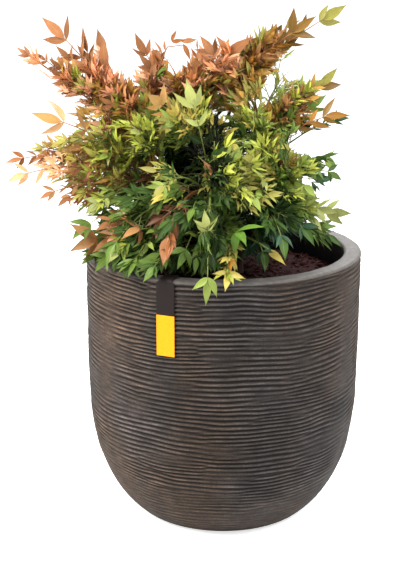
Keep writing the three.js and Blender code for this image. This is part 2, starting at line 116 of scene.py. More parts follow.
def add_lamp(name, place, aim, size, watts, colour):
    """A square area lamp that faces its aim."""
    lamp = bpy.data.objects.new(name, bpy.data.lights.new(name, "AREA"))
    lamp.data.size = size * MM
    lamp.data.energy = watts
    lamp.data.color = colour
    lamp.location = Vector(place) * MM
    lamp.rotation_euler = (Vector(aim) - Vector(place)).to_track_quat("-Z", "Y").to_euler()
    bpy.context.collection.objects.link(lamp)


def add_world():
    """White where it is seen, and WORLD_LIGHT where it lights: 1 for rays from the camera, else that."""
    world = bpy.data.worlds.new("studio")
    world.use_nodes = True
    tree = world.node_tree
    background = tree.nodes["Background"]
    background.inputs["Color"].default_value = (1, 1, 1, 1)
    seen = tree.nodes.new("ShaderNodeLightPath")
    strength = tree.nodes.new("ShaderNodeMath")
    strength.operation = "MULTIPLY_ADD"
    tree.links.new(seen.outputs["Is Camera Ray"], strength.inputs[0])
    strength.inputs[1].default_value = 1 - WORLD_LIGHT
    strength.inputs[2].default_value = WORLD_LIGHT
    tree.links.new(strength.outputs[0], background.inputs["Strength"])
    bpy.context.scene.world = world


for name, values in LAMPS.items():
    add_lamp(name, *values)
add_world()
bpy.context.scene.view_settings.view_transform = "Standard"
print("lamps:", len(LAMPS))

# %% [markdown]
# ## Meshes from arrays
# Every surface here is a grid: points worked out as whole arrays, row after row, and quads between
# neighbouring rows. One helper makes the quads, one turns an outline round the axis, and one makes the
# arrays an object. A float attribute on the points carries what the material needs to know, such as how
# high a rib stands.

# %% Mesh helpers
def grid_faces(rows, columns, closed=False):
    """Quads of a grid that is stored row by row. closed joins the last column to the first."""
    across = columns if closed else columns - 1
    row, column = np.meshgrid(np.arange(rows - 1), np.arange(across), indexing="ij")
    following = (column + 1) % columns
    corners = [row * columns + column, row * columns + following,
               (row + 1) * columns + following, (row + 1) * columns + column]
    return np.stack(corners, -1).reshape(-1, 4)


def carried_round(outline, columns):
    """Grid points of an outline (radius, height) carried round the axis: (r cos turn, r sin turn, height)."""
    turn = np.linspace(0, 2 * np.pi, columns, endpoint=False)
    radius, height = outline[:, :1], np.repeat(outline[:, 1:], columns, 1)
    return np.stack([radius * np.cos(turn), radius * np.sin(turn), height], -1).reshape(-1, 3)


def fan_faces(centre, ring, flip=False):
    """Triangles from one point to a closed ring of points."""
    following = np.roll(ring, -1)
    pair = (following, ring) if flip else (ring, following)
    return np.stack([np.full(len(ring), centre), *pair], -1)


def add_piece(name, points, faces, materials, slot, nodes, attributes=None, sharp=None, kinds=None):
    """An object from points in millimetres and lists of faces, which rides the plant and replaces nodes.

    attributes are floats on the points, kinds the material number of each face, and sharp the angle in
    degrees past which an edge stays crisp.
    """
    mesh = bpy.data.meshes.new(name)
    every_face = [face for group in faces for face in group.tolist()]
    mesh.from_pydata((points * MM).tolist(), [], every_face)
    mesh.polygons.foreach_set("use_smooth", np.ones(len(mesh.polygons), bool))
    for label, values in (attributes or {}).items():
        mesh.attributes.new(label, "FLOAT", "POINT").data.foreach_set("value", values.astype(np.float32))
    for material in materials:
        mesh.materials.append(material)
    if kinds is not None:
        mesh.polygons.foreach_set("material_index", kinds)
    if sharp is not None:
        mesh.set_sharp_from_angle(angle=math.radians(sharp))
    mesh.update()
    piece = bpy.data.objects.new(name, mesh)
    bpy.context.collection.objects.link(piece)
    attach(piece, "root")
    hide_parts(*nodes)
    triangles = sum(len(polygon) - 2 for polygon in every_face)
    print(f"{name}: {triangles} triangles")
    return piece


# %% [markdown]
# ## Chance and noise
# A plant needs chance that comes out the same every time. `chance` turns a few whole numbers into one
# number from 0 to 1, so a twig's angle depends only on which twig it is. `noise` does the same for
# points in space: it gives each corner of a lattice its own number and blends smoothly between them.

# %% Chance and noise
def chance(*keys):
    """A number from 0 to 1 that depends only on its keys: each key is multiplied into a 32-bit hash."""
    value = 2166136261
    for key in keys:
        value = ((value ^ (key & 0xFFFFFFFF)) * 16777619) & 0xFFFFFFFF
        value ^= value >> 13
    value = ((value ^ (value >> 15)) * 2246822519) & 0xFFFFFFFF
    value ^= value >> 13
    value = (value * 3266489917) & 0xFFFFFFFF
    return (value ^ (value >> 16)) / 4294967296


def stray(amount, *keys):
    """A chance spread evenly about 0, from -amount to amount."""
    return (2 * chance(*keys) - 1) * amount


def noise(points, cell, seed=0):
    """Smooth noise from -1 to 1 at points. cell is the lattice's size, one number or one for each axis."""
    scaled = points / np.asarray(cell, float)
    corner = np.floor(scaled).astype(np.int64)
    share = scaled - corner
    share = share * share * (3 - 2 * share)
    total = np.zeros(len(points))
    for step in np.ndindex(2, 2, 2):
        lattice = corner + step
        value = lattice @ np.array([374761393, 668265263, 1442695041]) + seed * 974711
        value = ((value ^ (value >> 13)) * 1274126177) & 0xFFFFFFFF
        value = (value ^ (value >> 16)) & 0xFFFF
        total += value / 65535 * np.prod(np.where(step, share, 1 - share), axis=1)
    return 2 * total - 1


def smooth_step(values, low, high):
    """0 below low, 1 above high, and an S-curve between."""
    share = np.clip((values - low) / (high - low), 0, 1)
    return share * share * (3 - 2 * share)


print("chance(1, 2, 3) =", round(chance(1, 2, 3), 6))

# %% [markdown]
# ## Shader groups
# Two effects are used by almost every finish here. `Mottle` makes a colour a little lighter and darker
# in soft patches. `Relief` turns a fine noise into small bumps. Both read Object coordinates, so they
# stay on the surface, and both can be stretched along an axis, which makes streaks. They are built once
# as node groups and placed in each material with their own values.

# %% Shader helpers
def linear(code):
    """The linear colour of a #rrggbb code: each channel c is ((c + 0.055) / 1.055) ^ 2.4."""
    channels = [int(code[place:place + 2], 16) / 255 for place in (1, 3, 5)]
    return tuple(c / 12.92 if c <= 0.04045 else ((c + 0.055) / 1.055) ** 2.4 for c in channels) + (1.0,)


def add_node(tree, kind, settings=None, **inputs):
    """A shader node. Each input is a value or another node's output; _ in a name stands for a space."""
    made = tree.nodes.new(kind)
    for label, value in (settings or {}).items():
        setattr(made, label, value)
    for label, value in inputs.items():
        socket = made.inputs[int(label[1:])] if label[1:].isdigit() else made.inputs[label.replace("_", " ")]
        if isinstance(value, bpy.types.NodeSocket):
            tree.links.new(value, socket)
        else:
            socket.default_value = value
    return made


def calculated(tree, operation, *values):
    """The result of a Math node."""
    inputs = {f"i{number}": value for number, value in enumerate(values)}
    return add_node(tree, "ShaderNodeMath", {"operation": operation}, **inputs).outputs[0]


def brightened(tree, colour, amount):
    """A colour times a value."""
    return add_node(tree, "ShaderNodeVectorMath", {"operation": "SCALE"}, i0=colour, Scale=amount).outputs[0]


def add_group(name, inputs, outputs):
    """An empty shader group with named inputs, each with a default, and named outputs."""
    group = bpy.data.node_groups.new(name, "ShaderNodeTree")
    for label, kind, value in inputs:
        group.interface.new_socket(label, in_out="INPUT", socket_type=kind).default_value = value
    for label, kind in outputs:
        group.interface.new_socket(label, in_out="OUTPUT", socket_type=kind)
    return group, group.nodes.new("NodeGroupInput").outputs, group.nodes.new("NodeGroupOutput").inputs


def stretched(tree, stretch):
    """Object coordinates, multiplied by a stretch along each axis."""
    place = add_node(tree, "ShaderNodeTexCoord").outputs["Object"]
    return add_node(tree, "ShaderNodeVectorMath", {"operation": "MULTIPLY"}, i0=place, i1=stretch).outputs[0]


# %% The Mottle group
mottle_group, given, result = add_group(
    "Mottle",
    [("Color", "NodeSocketColor", (1, 1, 1, 1)), ("Scale", "NodeSocketFloat", 60.0),
     ("Amount", "NodeSocketFloat", 0.2), ("Stretch", "NodeSocketVector", (1, 1, 1))],
    [("Color", "NodeSocketColor")],
)
cloud = add_node(mottle_group, "ShaderNodeTexNoise", Vector=stretched(mottle_group, given["Stretch"]),
                 Scale=given["Scale"], Detail=3.0)
swing = calculated(mottle_group, "MULTIPLY_ADD", cloud.outputs["Fac"], 2.0, -1.0)
level = calculated(mottle_group, "MULTIPLY_ADD", swing, given["Amount"], 1.0)
mottle_group.links.new(brightened(mottle_group, given["Color"], level), result["Color"])

# %% The Relief group
relief_group, given, result = add_group(
    "Relief",
    [("Scale", "NodeSocketFloat", 400.0), ("Strength", "NodeSocketFloat", 0.3),
     ("Height", "NodeSocketFloat", 0.0005), ("Stretch", "NodeSocketVector", (1, 1, 1))],
    [("Normal", "NodeSocketVector")],
)
grain = add_node(relief_group, "ShaderNodeTexNoise", Vector=stretched(relief_group, given["Stretch"]),
                 Scale=given["Scale"], Detail=2.0)
bump = add_node(relief_group, "ShaderNodeBump", Strength=given["Strength"], Distance=given["Height"],
                Height=grain.outputs["Fac"])
relief_group.links.new(bump.outputs["Normal"], result["Normal"])


# %% Material helpers
def mottled(tree, colour, scale, amount, stretch=(1, 1, 1)):
    """A colour, lighter and darker in patches."""
    group = add_node(tree, "ShaderNodeGroup", {"node_tree": mottle_group}, Color=colour, Scale=scale,
                     Amount=amount, Stretch=stretch)
    return group.outputs["Color"]


def relief(tree, scale, strength, height, stretch=(1, 1, 1)):
    """A bumped normal. height is in millimetres."""
    group = add_node(tree, "ShaderNodeGroup", {"node_tree": relief_group}, Scale=scale, Strength=strength,
                     Height=height * MM, Stretch=stretch)
    return group.outputs["Normal"]


def attribute(tree, label):
    """A float that the mesh carries on its points."""
    return add_node(tree, "ShaderNodeAttribute", {"attribute_name": label}).outputs["Fac"]


def blend(tree, share, first, second):
    """A colour between two colours."""
    return add_node(tree, "ShaderNodeMix", {"data_type": "RGBA"}, i0=share, i6=first, i7=second).outputs[2]


def remap(tree, value, low, high, to_low, to_high):
    """A value moved from one range to another, and held inside the second."""
    return add_node(tree, "ShaderNodeMapRange", Value=value, From_Min=low, From_Max=high, To_Min=to_low,
                    To_Max=to_high).outputs["Result"]


def new_material(name):
    """A material, its node tree and its Principled shader."""
    material = bpy.data.materials.new(name)
    material.use_nodes = True
    return material, material.node_tree, material.node_tree.nodes["Principled BSDF"]


# %% [markdown]
# ## Planter
# The pot is turned: one outline, carried round the axis. It stands on a foot narrower than its belly,
# rises nearly upright to a thick rounded lip and goes down again inside. Its wall is combed with wavy
# ribs that run together, fork and fade out, as if pressed by hand. Two sets of ribs of different pitch
# are laid over each other, and a soft mask decides which of them shows: along the mask's edge, ribs
# meet and fork. All relief goes inwards, so the pot never grows past its true size. A bump texture
# would be lighter than this fine grid, but it leaves the pot's outline smooth, and these ribs show there.

# %% Planter shape
POT_RADIUS = 175
POT_HEIGHT = 345
FOOT_RADIUS = 107
BELLY_HEIGHT = 220
BELLY_FALL = 3.2
BELLY_TUCK = 0.76
WALL = 22
FLOOR = 20
LIP_ROUND = 4
FOOT_ROUND = 4
UNDER_ROWS = 5  # of the underside, with its middle
POT_COLUMNS = 204
RIB_ROWS = 440
RIB_PITCHES = (4.9, 6.1)
RIB_DEPTH = 1.8
DENT_DEPTH = 0.3  # of the broad dents under the ribs
LIP_WEAR = 0.35  # by which the lip's top is worn down on average
SMOOTH_TURNS = ((-55, 10), (61, 9), (165, 14))  # degrees round the pot where the ribs thin out, and how far
PAINTED_LIGHT_TURNS = ((-54, 23, 1.0), (66, 16, 0.42), (170, 40, 0.7))  # degrees round the pot, how far, and how strong the painted light of the lamps on the flanks and back is
SMOOTH_FOOT = (24, 92)  # heights from and to which the ribs come back above the foot
PAINTED_BOUNCE_HEIGHTS = (20, 130)  # and over which the painted light thrown up by the floor fades above the foot


def pot_radius(z):
    """Foot radius plus the belly's bulge times (1 - fall^3.2)^0.76, where fall is 0 above the belly and
    1 at the ground."""
    fall = np.clip((BELLY_HEIGHT - z) / BELLY_HEIGHT, 0, 1)
    return FOOT_RADIUS + (POT_RADIUS - FOOT_RADIUS) * (1 - fall**BELLY_FALL) ** BELLY_TUCK


def arc(centre, radius, start, end, count):
    """Points (radius, height) of a round corner, from one angle to another in degrees."""
    angle = np.radians(np.linspace(start, end, count))
    return np.stack([centre[0] + radius * np.cos(angle), centre[1] + radius * np.sin(angle)], -1)


def pot_outline():
    """(radius, height) from the middle of the underside, up the outside, over the lip, to the inner floor."""
    under = np.stack([np.linspace(0, FOOT_RADIUS - FOOT_ROUND, UNDER_ROWS), np.zeros(UNDER_ROWS)], -1)
    height = np.linspace(FOOT_ROUND * 0.4, POT_HEIGHT - LIP_ROUND, RIB_ROWS)
    outside = np.stack([pot_radius(height), height], -1)
    lip_out = arc((POT_RADIUS - LIP_ROUND, POT_HEIGHT - LIP_ROUND), LIP_ROUND, 12, 90, 7)
    flat = np.stack([np.linspace(POT_RADIUS - LIP_ROUND - 3, POT_RADIUS - WALL + LIP_ROUND, 5)[:-1],
                     np.full(4, POT_HEIGHT)], -1)
    lip_in = arc((POT_RADIUS - WALL + LIP_ROUND, POT_HEIGHT - LIP_ROUND), LIP_ROUND, 90, 180, 7)
    depth = np.linspace(POT_HEIGHT - LIP_ROUND - 3, FLOOR, 16)
    inside = np.stack([pot_radius(depth) - WALL, depth], -1)
    base = np.array([[0.0, FLOOR]])
    return np.concatenate([under, outside, lip_out, flat, lip_in, inside, base])


# %% Ribs
def rubbed(points):
    """1 where the ribs are worn away: in a few upright bands, broken up by noise, and near the foot."""
    turn = np.degrees(np.arctan2(points[:, 0], -points[:, 1]))
    bands = sum(np.exp(-(((turn - at) / wide) ** 2)) for at, wide in SMOOTH_TURNS)
    broken = 0.45 + 0.55 * smooth_step(noise(points, (40, 40, 26), 71), -0.5, 0.3)
    low = 1 - smooth_step(points[:, 2] + 14 * noise(points, (50, 50, 30), 81), *SMOOTH_FOOT)
    return np.clip(0.92 * bands * broken + 0.78 * low, 0, 0.94)


def rib_height(points):
    """How high a rib stands, 0 in a groove and 1 on a crest.

    Two waves sin(2 pi z / pitch + warp) with their own pitch and warp are mixed by a mask. The warp has
    a coarse part, which makes the ribs wander, and a flat fine one, which makes them narrow and wide.
    """
    around = points * [1, 1, 0.55]
    waves = []
    for number, pitch in enumerate(RIB_PITCHES):
        warp = 2.9 * noise(around, 82, 11 + number) + 1.3 * noise(around, 29, 21 + number)
        warp += 1.5 * noise(points, (60, 60, 13), 91 + number)
        waves.append(np.sin(2 * np.pi * points[:, 2] / pitch + warp))
    mask = smooth_step(noise(points, (62, 62, 22), 31), -0.16, 0.16)
    wave = mask * waves[0] + (1 - mask) * waves[1]
    strength = 0.35 + 0.65 * smooth_step(noise(points, (56, 56, 17), 41), -0.45, 0.1)
    return 0.5 + 0.5 * np.clip(wave * strength * (1 - rubbed(points)) * 1.2, -1, 1)


def painted_light_and_tone(points):
    """Painted light, 1 where it is strongest: in upright bands where the lamps light the flanks and back, the
    widest on the left, and near the foot, where the floor throws light back up; a little noise varies it.

    On the lip it is a painted sheen, 0.5 - 0.5 cos(turn): 0 at the front and 1 at the back.
    """
    turn = np.degrees(np.arctan2(points[:, 0], -points[:, 1]))
    bands = sum(strength * np.exp(-(((turn - at) / wide) ** 2)) for at, wide, strength in PAINTED_LIGHT_TURNS)
    low = 1 - smooth_step(points[:, 2], *PAINTED_BOUNCE_HEIGHTS)
    wall = np.clip(bands + 0.7 * low + 0.25 * noise(points, (50, 50, 40), 101), 0, 1)
    return np.where(points[:, 2] > POT_HEIGHT - 5, 0.5 - 0.5 * np.cos(np.radians(turn)), wall)


middle_rows = pot_outline()[1:-1]
ring_points = carried_round(middle_rows, POT_COLUMNS)
row_number = np.repeat(np.arange(len(middle_rows)), POT_COLUMNS)
first_rib_row = UNDER_ROWS - 1
on_wall = (row_number >= first_rib_row) & (row_number < first_rib_row + RIB_ROWS)
near_lip = smooth_step(ring_points[:, 2], POT_HEIGHT - 8, POT_HEIGHT - 4)
fade = smooth_step(ring_points[:, 2], 2, 10) * (1 - near_lip)
rib = np.where(on_wall, rib_height(ring_points), 1.0)
cut = RIB_DEPTH * (1 - rib**1.2) * fade * on_wall
dent = DENT_DEPTH * (1 + noise(ring_points, (46, 46, 30), 51)) * 0.5
distance = np.hypot(ring_points[:, 0], ring_points[:, 1])
shrink = 1 - np.where(on_wall, cut + dent * fade, 0) / distance
ring_points[:, :2] *= shrink[:, None]
lip_rows = row_number >= first_rib_row + RIB_ROWS
on_top = lip_rows & (ring_points[:, 2] > POT_HEIGHT - 2)
ring_points[:, 2] -= np.where(on_top, LIP_WEAR * (1 + noise(ring_points, (9, 9, 9), 61)), 0)
lip = lip_rows * smooth_step(ring_points[:, 2], POT_HEIGHT - 4, POT_HEIGHT - 1.5)
below_lip = 1 - smooth_step(ring_points[:, 2], POT_HEIGHT - 9, POT_HEIGHT - 4)
inside = lip_rows * (distance < POT_RADIUS - WALL / 2) * below_lip
print("rings on the pot:", len(middle_rows), "deepest groove:", round(float(cut.max()), 2), "mm")

# %% [markdown]
# ## Planter finish
# The pot is dark brown composite with a dry, stony face. Its crests are rubbed pale, its grooves stay
# almost black-brown, and broad patches lean to grey. Fine streaks run along the ribs. Painted light makes
# the wall paler on its flanks and at the back, where the lamps light it, and near the foot, where the
# floor throws light back up. The lip is smoother and greyer, with a painted sheen that is brightest at the
# back, and the wall inside carries painted shade: it is nearly black. How high a rib stands, how much
# painted light the finish takes, and where the lip and the inside are, comes from the attributes on the
# points. A painted image could show all this too, but the pot would have to be unwrapped for it, and the
# paint would not follow the ribs when their values change.

# %% Planter material
GROOVE = linear("#1a100b")
CREST = linear("#645346")
GREY_CREST = linear("#585351")
LIP = linear("#575350")
# painted shade: the inside wall is painted nearly black, as it lies in shadow
INSIDE_PAINTED_SHADE = linear("#0e0d10")
WALL_PAINTED_LIGHT = (0.46, 1.02)  # brightness of the wall where its painted light is least and most
# the lip's brightness, from the front to the painted sheen at its back
LIP_PAINTED_SHEEN = (0.7, 1.4)
POT_GLOSS = 0.22


def planter_material():
    """Groove to crest by rib height, with streaks and painted light, then the lip and the inside over it."""
    material, tree, shader = new_material("ribbed composite")
    patches = add_node(tree, "ShaderNodeTexNoise", Vector=stretched(tree, (1, 1, 0.5)), Scale=9.0, Detail=2.0)
    crest = blend(tree, remap(tree, patches.outputs["Fac"], 0.4, 0.62, 0, 1), CREST, GREY_CREST)
    rise = calculated(tree, "POWER", remap(tree, attribute(tree, "rib"), 0.1, 0.95, 0, 1), 1.5)
    wall = blend(tree, rise, GROOVE, crest)
    wall = mottled(tree, wall, 60, 1.3, (1, 1, 12))
    wall = mottled(tree, wall, 34, 0.7)
    wall = mottled(tree, wall, 420, 0.7)
    # the pale attribute is painted light: lamps on the flanks and back, the floor's bounce near the foot, and
    # on the lip a sheen
    pale = attribute(tree, "pale")
    wall = brightened(tree, wall, remap(tree, pale, 0, 1, *WALL_PAINTED_LIGHT))
    # the lip's painted sheen grows towards the back
    rim = brightened(tree, mottled(tree, LIP, 150, 0.5), remap(tree, pale, 0, 0.6, *LIP_PAINTED_SHEEN))
    with_lip = blend(tree, attribute(tree, "lip"), wall, rim)
    # the inside takes its painted shade
    everything = blend(tree, attribute(tree, "inside"), with_lip, mottled(tree, INSIDE_PAINTED_SHADE, 60, 0.3))
    tree.links.new(everything, shader.inputs["Base Color"])
    gloss = remap(tree, attribute(tree, "lip"), 0, 1, 0.72, 0.5)
    tree.links.new(gloss, shader.inputs["Roughness"])
    shader.inputs["Specular IOR Level"].default_value = POT_GLOSS
    tree.links.new(relief(tree, 160, 0.6, 0.5, (1, 1, 7)), shader.inputs["Normal"])
    return material


corners = len(ring_points)  # and after them the middle of the underside and of the floor inside
pot_points = np.concatenate([ring_points, [[0, 0, 0]], [[0, 0, FLOOR]]])
pot_faces = [
    grid_faces(len(middle_rows), POT_COLUMNS, closed=True),
    fan_faces(corners, np.arange(POT_COLUMNS), flip=True),
    fan_faces(corners + 1, np.arange(corners - POT_COLUMNS, corners)),
]
pad = [0.0, 0.0]
# pale carries painted light and, on the lip, a painted sheen
marks = {"rib": np.append(rib, pad), "lip": np.append(lip, pad), "inside": np.append(inside, [0.0, 1.0]),
         "pale": np.append(painted_light_and_tone(ring_points), pad)}
add_piece("planter_pot", pot_points, pot_faces, [planter_material()], "planter", ["planter"], marks)

# %% [markdown]
# ## Potting soil
# The soil lies 30 mm under the rim: a dark, reddish mix with lumps and flakes of bark. Its face is a
# disc in polar coordinates whose height is a sum of noises, closed underneath by the pot's own inner
# shape. Several hundred small chips lie on it, each a six-sided flake with its own turn and tilt. A
# particle system could scatter whole grains, but little of the soil shows, and arrays make it at once.

# %% Soil
SOIL_TOP = 315
SOIL_GAP = 0.5  # to the pot's floor and, at the top, to its wall
SOIL_SIDE_GAP = 0.6  # to the wall further down
SOIL_RINGS = 52
SOIL_COLUMNS = 150
CHIPS = 760
CHIP_SIZE = (2.2, 7.5)


def soil_height(points):
    """Soil level plus lumps of three sizes, sinking 4 mm towards the wall."""
    lumps = 2.4 * noise(points, 34, 1) + 1.6 * noise(points, 11, 2) + 1.1 * noise(points, 4.2, 3)
    edge = smooth_step(np.hypot(points[:, 0], points[:, 1]), 125, 152)
    return SOIL_TOP - 3.0 + lumps - 4 * edge


def soil_mesh():
    """A bumpy disc from a middle point outwards, then a wall down to the pot's floor."""
    spread = np.linspace(0, 1, SOIL_RINGS + 1)[1:] ** 0.8 * (POT_RADIUS - WALL - SOIL_GAP)
    disc = carried_round(np.stack([spread, np.zeros(SOIL_RINGS)], -1), SOIL_COLUMNS)
    disc[:, 2] = soil_height(disc)
    depth = np.linspace(SOIL_TOP - 12, FLOOR + SOIL_GAP, 8)
    wall = carried_round(np.stack([pot_radius(depth) - WALL - SOIL_SIDE_GAP, depth], -1), SOIL_COLUMNS)
    top = [[0, 0, float(soil_height(np.zeros((1, 3)))[0])]]
    points = np.concatenate([disc, wall, top, [[0, 0, FLOOR + SOIL_GAP]]])
    rows = SOIL_RINGS + len(depth)
    last = np.arange((rows - 1) * SOIL_COLUMNS, rows * SOIL_COLUMNS)
    faces = [grid_faces(rows, SOIL_COLUMNS, closed=True)[:, ::-1],
             fan_faces(rows * SOIL_COLUMNS, np.arange(SOIL_COLUMNS)),
             fan_faces(rows * SOIL_COLUMNS + 1, last, flip=True)]
    return points, faces


def chip_mesh():
    """Flat hexagonal flakes: one template ring above and below, scaled, turned and tilted for each."""
    rng = np.random.default_rng(7)
    reach = (POT_RADIUS - WALL - 9) * np.sqrt(rng.random(CHIPS))
    turn = rng.random(CHIPS) * 2 * np.pi
    centre = np.stack([reach * np.cos(turn), reach * np.sin(turn), np.zeros(CHIPS)], -1)
    centre[:, 2] = soil_height(centre) + 0.7
    size = rng.uniform(*CHIP_SIZE, CHIPS)
    angle = np.arange(6) * np.pi / 3
    ring = np.stack([np.cos(angle), 0.45 * np.sin(angle), np.zeros(6)], -1)
    layers = np.concatenate([ring * [0.85, 0.85, 1] + [0, 0, 0.16], ring - [0, 0, 0.12]])
    shape = layers[None] * size[:, None, None] * rng.uniform(0.75, 1.2, (CHIPS, 12, 1))
    yaw, tilt = rng.random(CHIPS) * 2 * np.pi, rng.normal(0, 0.35, CHIPS)
    x = shape[..., 0] * np.cos(tilt)[:, None] - shape[..., 2] * np.sin(tilt)[:, None]
    z = shape[..., 0] * np.sin(tilt)[:, None] + shape[..., 2] * np.cos(tilt)[:, None]
    y = shape[..., 1]
    turned = np.stack([x * np.cos(yaw)[:, None] - y * np.sin(yaw)[:, None],
                       x * np.sin(yaw)[:, None] + y * np.cos(yaw)[:, None], z], -1)
    points = (turned + centre[:, None]).reshape(-1, 3)
    start = np.arange(CHIPS)[:, None] * 12
    side = np.arange(6)
    sides = np.stack([side + 6, (side + 1) % 6 + 6, (side + 1) % 6, side], -1)
    faces = [(start[:, None] + sides).reshape(-1, 4), start + np.arange(6), start + np.arange(11, 5, -1)]
    return points, faces


def soil_material(name, code, scale, amount):
    """A dark, rough, mottled finish."""
    material, tree, shader = new_material(name)
    tree.links.new(mottled(tree, linear(code), scale, amount), shader.inputs["Base Color"])
    shader.inputs["Roughness"].default_value = 0.9
    shader.inputs["Specular IOR Level"].default_value = 0.12
    tree.links.new(relief(tree, 900, 0.7, 0.6), shader.inputs["Normal"])
    return material


potting_mix = soil_material("potting mix", "#220706", 260, 0.9)
bark_chips = soil_material("bark chips", "#2a0e0b", 120, 0.8)
add_piece("soil_bed", *soil_mesh(), [potting_mix], "soil", ["potting_soil"])
add_piece("soil_bark_chips", *chip_mesh(), [bark_chips], "soil", ["potting_soil"], sharp=40)

# %% [markdown]
# ## Care tag
# A blank strip hangs over the rim: a dark strap that hooks over the lip, and below it a wide amber
# panel. It is one rounded ribbon carried along a bent line: up inside the wall, over the lip, and down
# outside. The part over the lip is narrower. Nothing is written on it; the amber panel only has a
# raised border. A flat strip bent by a modifier would do as well; here each section stands square to
# the path, so the thickness stays even round both bends.

# %% Tag shape
TAG_TURN = -22.3  # degrees round the pot from its front
TAG_WIDTH = 23
STRAP_WIDTH = 17
TAG_LENGTH = 92  # below the rim
TAG_THICKNESS = 1.2
TAG_SPLIT = 41.5  # below the rim: where the amber panel starts
TAG_HOOK = 12
TAG_BEND = 4
TAG_GAP = 0.3  # to the wall outside and to the lip
TAG_INNER_GAP = 0.9  # to the wall inside, whose curve comes nearer at the strap's edges
TAG_BORDER = 0.25


def ribbon_path():
    """(distance from the axis, height) along the middle of the ribbon."""
    half = TAG_THICKNESS / 2
    out_at = POT_RADIUS + half + TAG_GAP
    in_at = POT_RADIUS - WALL - half - TAG_INNER_GAP
    top = POT_HEIGHT + half + TAG_GAP
    up = np.stack([np.full(5, in_at), np.linspace(top - TAG_HOOK, top - TAG_BEND, 5)], -1)
    inner = arc((in_at + TAG_BEND, top - TAG_BEND), TAG_BEND, 180, 90, 6)
    outer = arc((out_at - TAG_BEND, top - TAG_BEND), TAG_BEND, 90, 0, 6)
    down = np.stack([np.full(40, out_at), np.linspace(top - TAG_BEND - 1, POT_HEIGHT - TAG_LENGTH, 40)], -1)
    return np.concatenate([up, inner, outer, down])


def tag_mesh():
    """A rounded section (13 points) carried along the path, with its own width at each point.

    The panel's border is raised by TAG_BORDER along both edges.
    """
    path = ribbon_path()
    forward = np.gradient(path, axis=0)
    forward /= np.linalg.norm(forward, axis=1)[:, None]
    side_on = np.stack([-forward[:, 1], forward[:, 0]], -1)
    below = POT_HEIGHT - path[:, 1]
    outside = path[:, 0] > POT_RADIUS
    widen = np.where(outside, smooth_step(below, 1.0, 3.5), 0)
    width = STRAP_WIDTH + (TAG_WIDTH - STRAP_WIDTH) * widen
    across = np.array([-1, -0.97, -0.9, -0.45, 0, 0.45, 0.9, 0.97, 1, 0.97, 0.45, -0.45, -0.97]) / 2
    thick = np.array([0, 0.85, 1, 1, 1, 1, 1, 0.85, 0, -0.9, -1, -1, -0.9]) / 2
    border = np.where((np.abs(across) > 0.4) & (thick > 0.3), TAG_BORDER, 0)
    panel = smooth_step(below, TAG_SPLIT + 2, TAG_SPLIT + 3) * outside
    off = TAG_THICKNESS * thick[None] + panel[:, None] * border[None]
    place = path[:, None] + side_on[:, None] * off[..., None]
    turn = math.radians(TAG_TURN) - math.pi / 2
    radial = np.array([math.cos(turn), math.sin(turn)])
    tangent = np.array([-math.sin(turn), math.cos(turn)])
    flat = place[..., :1] * radial + (width[:, None] * across[None])[..., None] * tangent
    points = np.concatenate([flat, place[..., 1:]], -1)
    rows, columns = points.shape[:2]
    faces = [grid_faces(rows, columns, closed=True), np.arange(columns)[None, ::-1],
             (np.arange(columns) + (rows - 1) * columns)[None]]
    amber = np.repeat((below[:-1] > TAG_SPLIT) & outside[:-1], columns)
    kinds = np.concatenate([amber, [False, True]]).astype(np.int32)
    return points.reshape(-1, 3), faces, kinds


def tag_material(name, code, roughness):
    """A slightly mottled, finely woven plastic."""
    material, tree, shader = new_material(name)
    tree.links.new(mottled(tree, linear(code), 300, 0.12), shader.inputs["Base Color"])
    shader.inputs["Roughness"].default_value = roughness
    shader.inputs["Specular IOR Level"].default_value = 0.18
    tree.links.new(relief(tree, 1800, 0.25, 0.15), shader.inputs["Normal"])
    return material


points, faces, kinds = tag_mesh()
strap_and_panel = [tag_material("dark strap", "#1a1210", 0.6), tag_material("amber panel", "#f09a06", 0.45)]
add_piece("care_tag_strip", points, faces, strap_and_panel, "tag", ["care_tag"], kinds=kinds, sharp=50)

# %% [markdown]
# ## Lines and tubes
# Canes, stalks and twigs are all tubes along a line. A `Line` is a curve sampled at even steps of its
# own length, so that a share of 0.5 is its true middle. Its frame gives the way along it, the way
# across it (level) and the way over it. Tubes of one kind are made all at once: the paths of every twig
# are stacked into one array, and each path point gets a ring of corners. Blender's bevelled curves give
# tubes too, but thousands of them are slow, and their radius can't carry bark.

# %% Lines
UP = np.array([0.0, 0.0, 1.0])
FRONT_TO_BACK = np.array([0.0, 1.0, 0.0])
STEEP = 0.9  # lines whose chord rises more than this take FRONT_TO_BACK as their reference, others UP


def unit(vectors):
    """Vectors scaled to length 1."""
    return vectors / np.maximum(np.linalg.norm(vectors, axis=-1, keepdims=True), 1e-9)


def curve_points(first, middle, last, count=81):
    """A quadratic curve: (1-t)^2 first + 2t(1-t) middle + t^2 last."""
    t = np.linspace(0, 1, count)[:, None]
    return (1 - t) ** 2 * first + 2 * t * (1 - t) * middle + t**2 * last


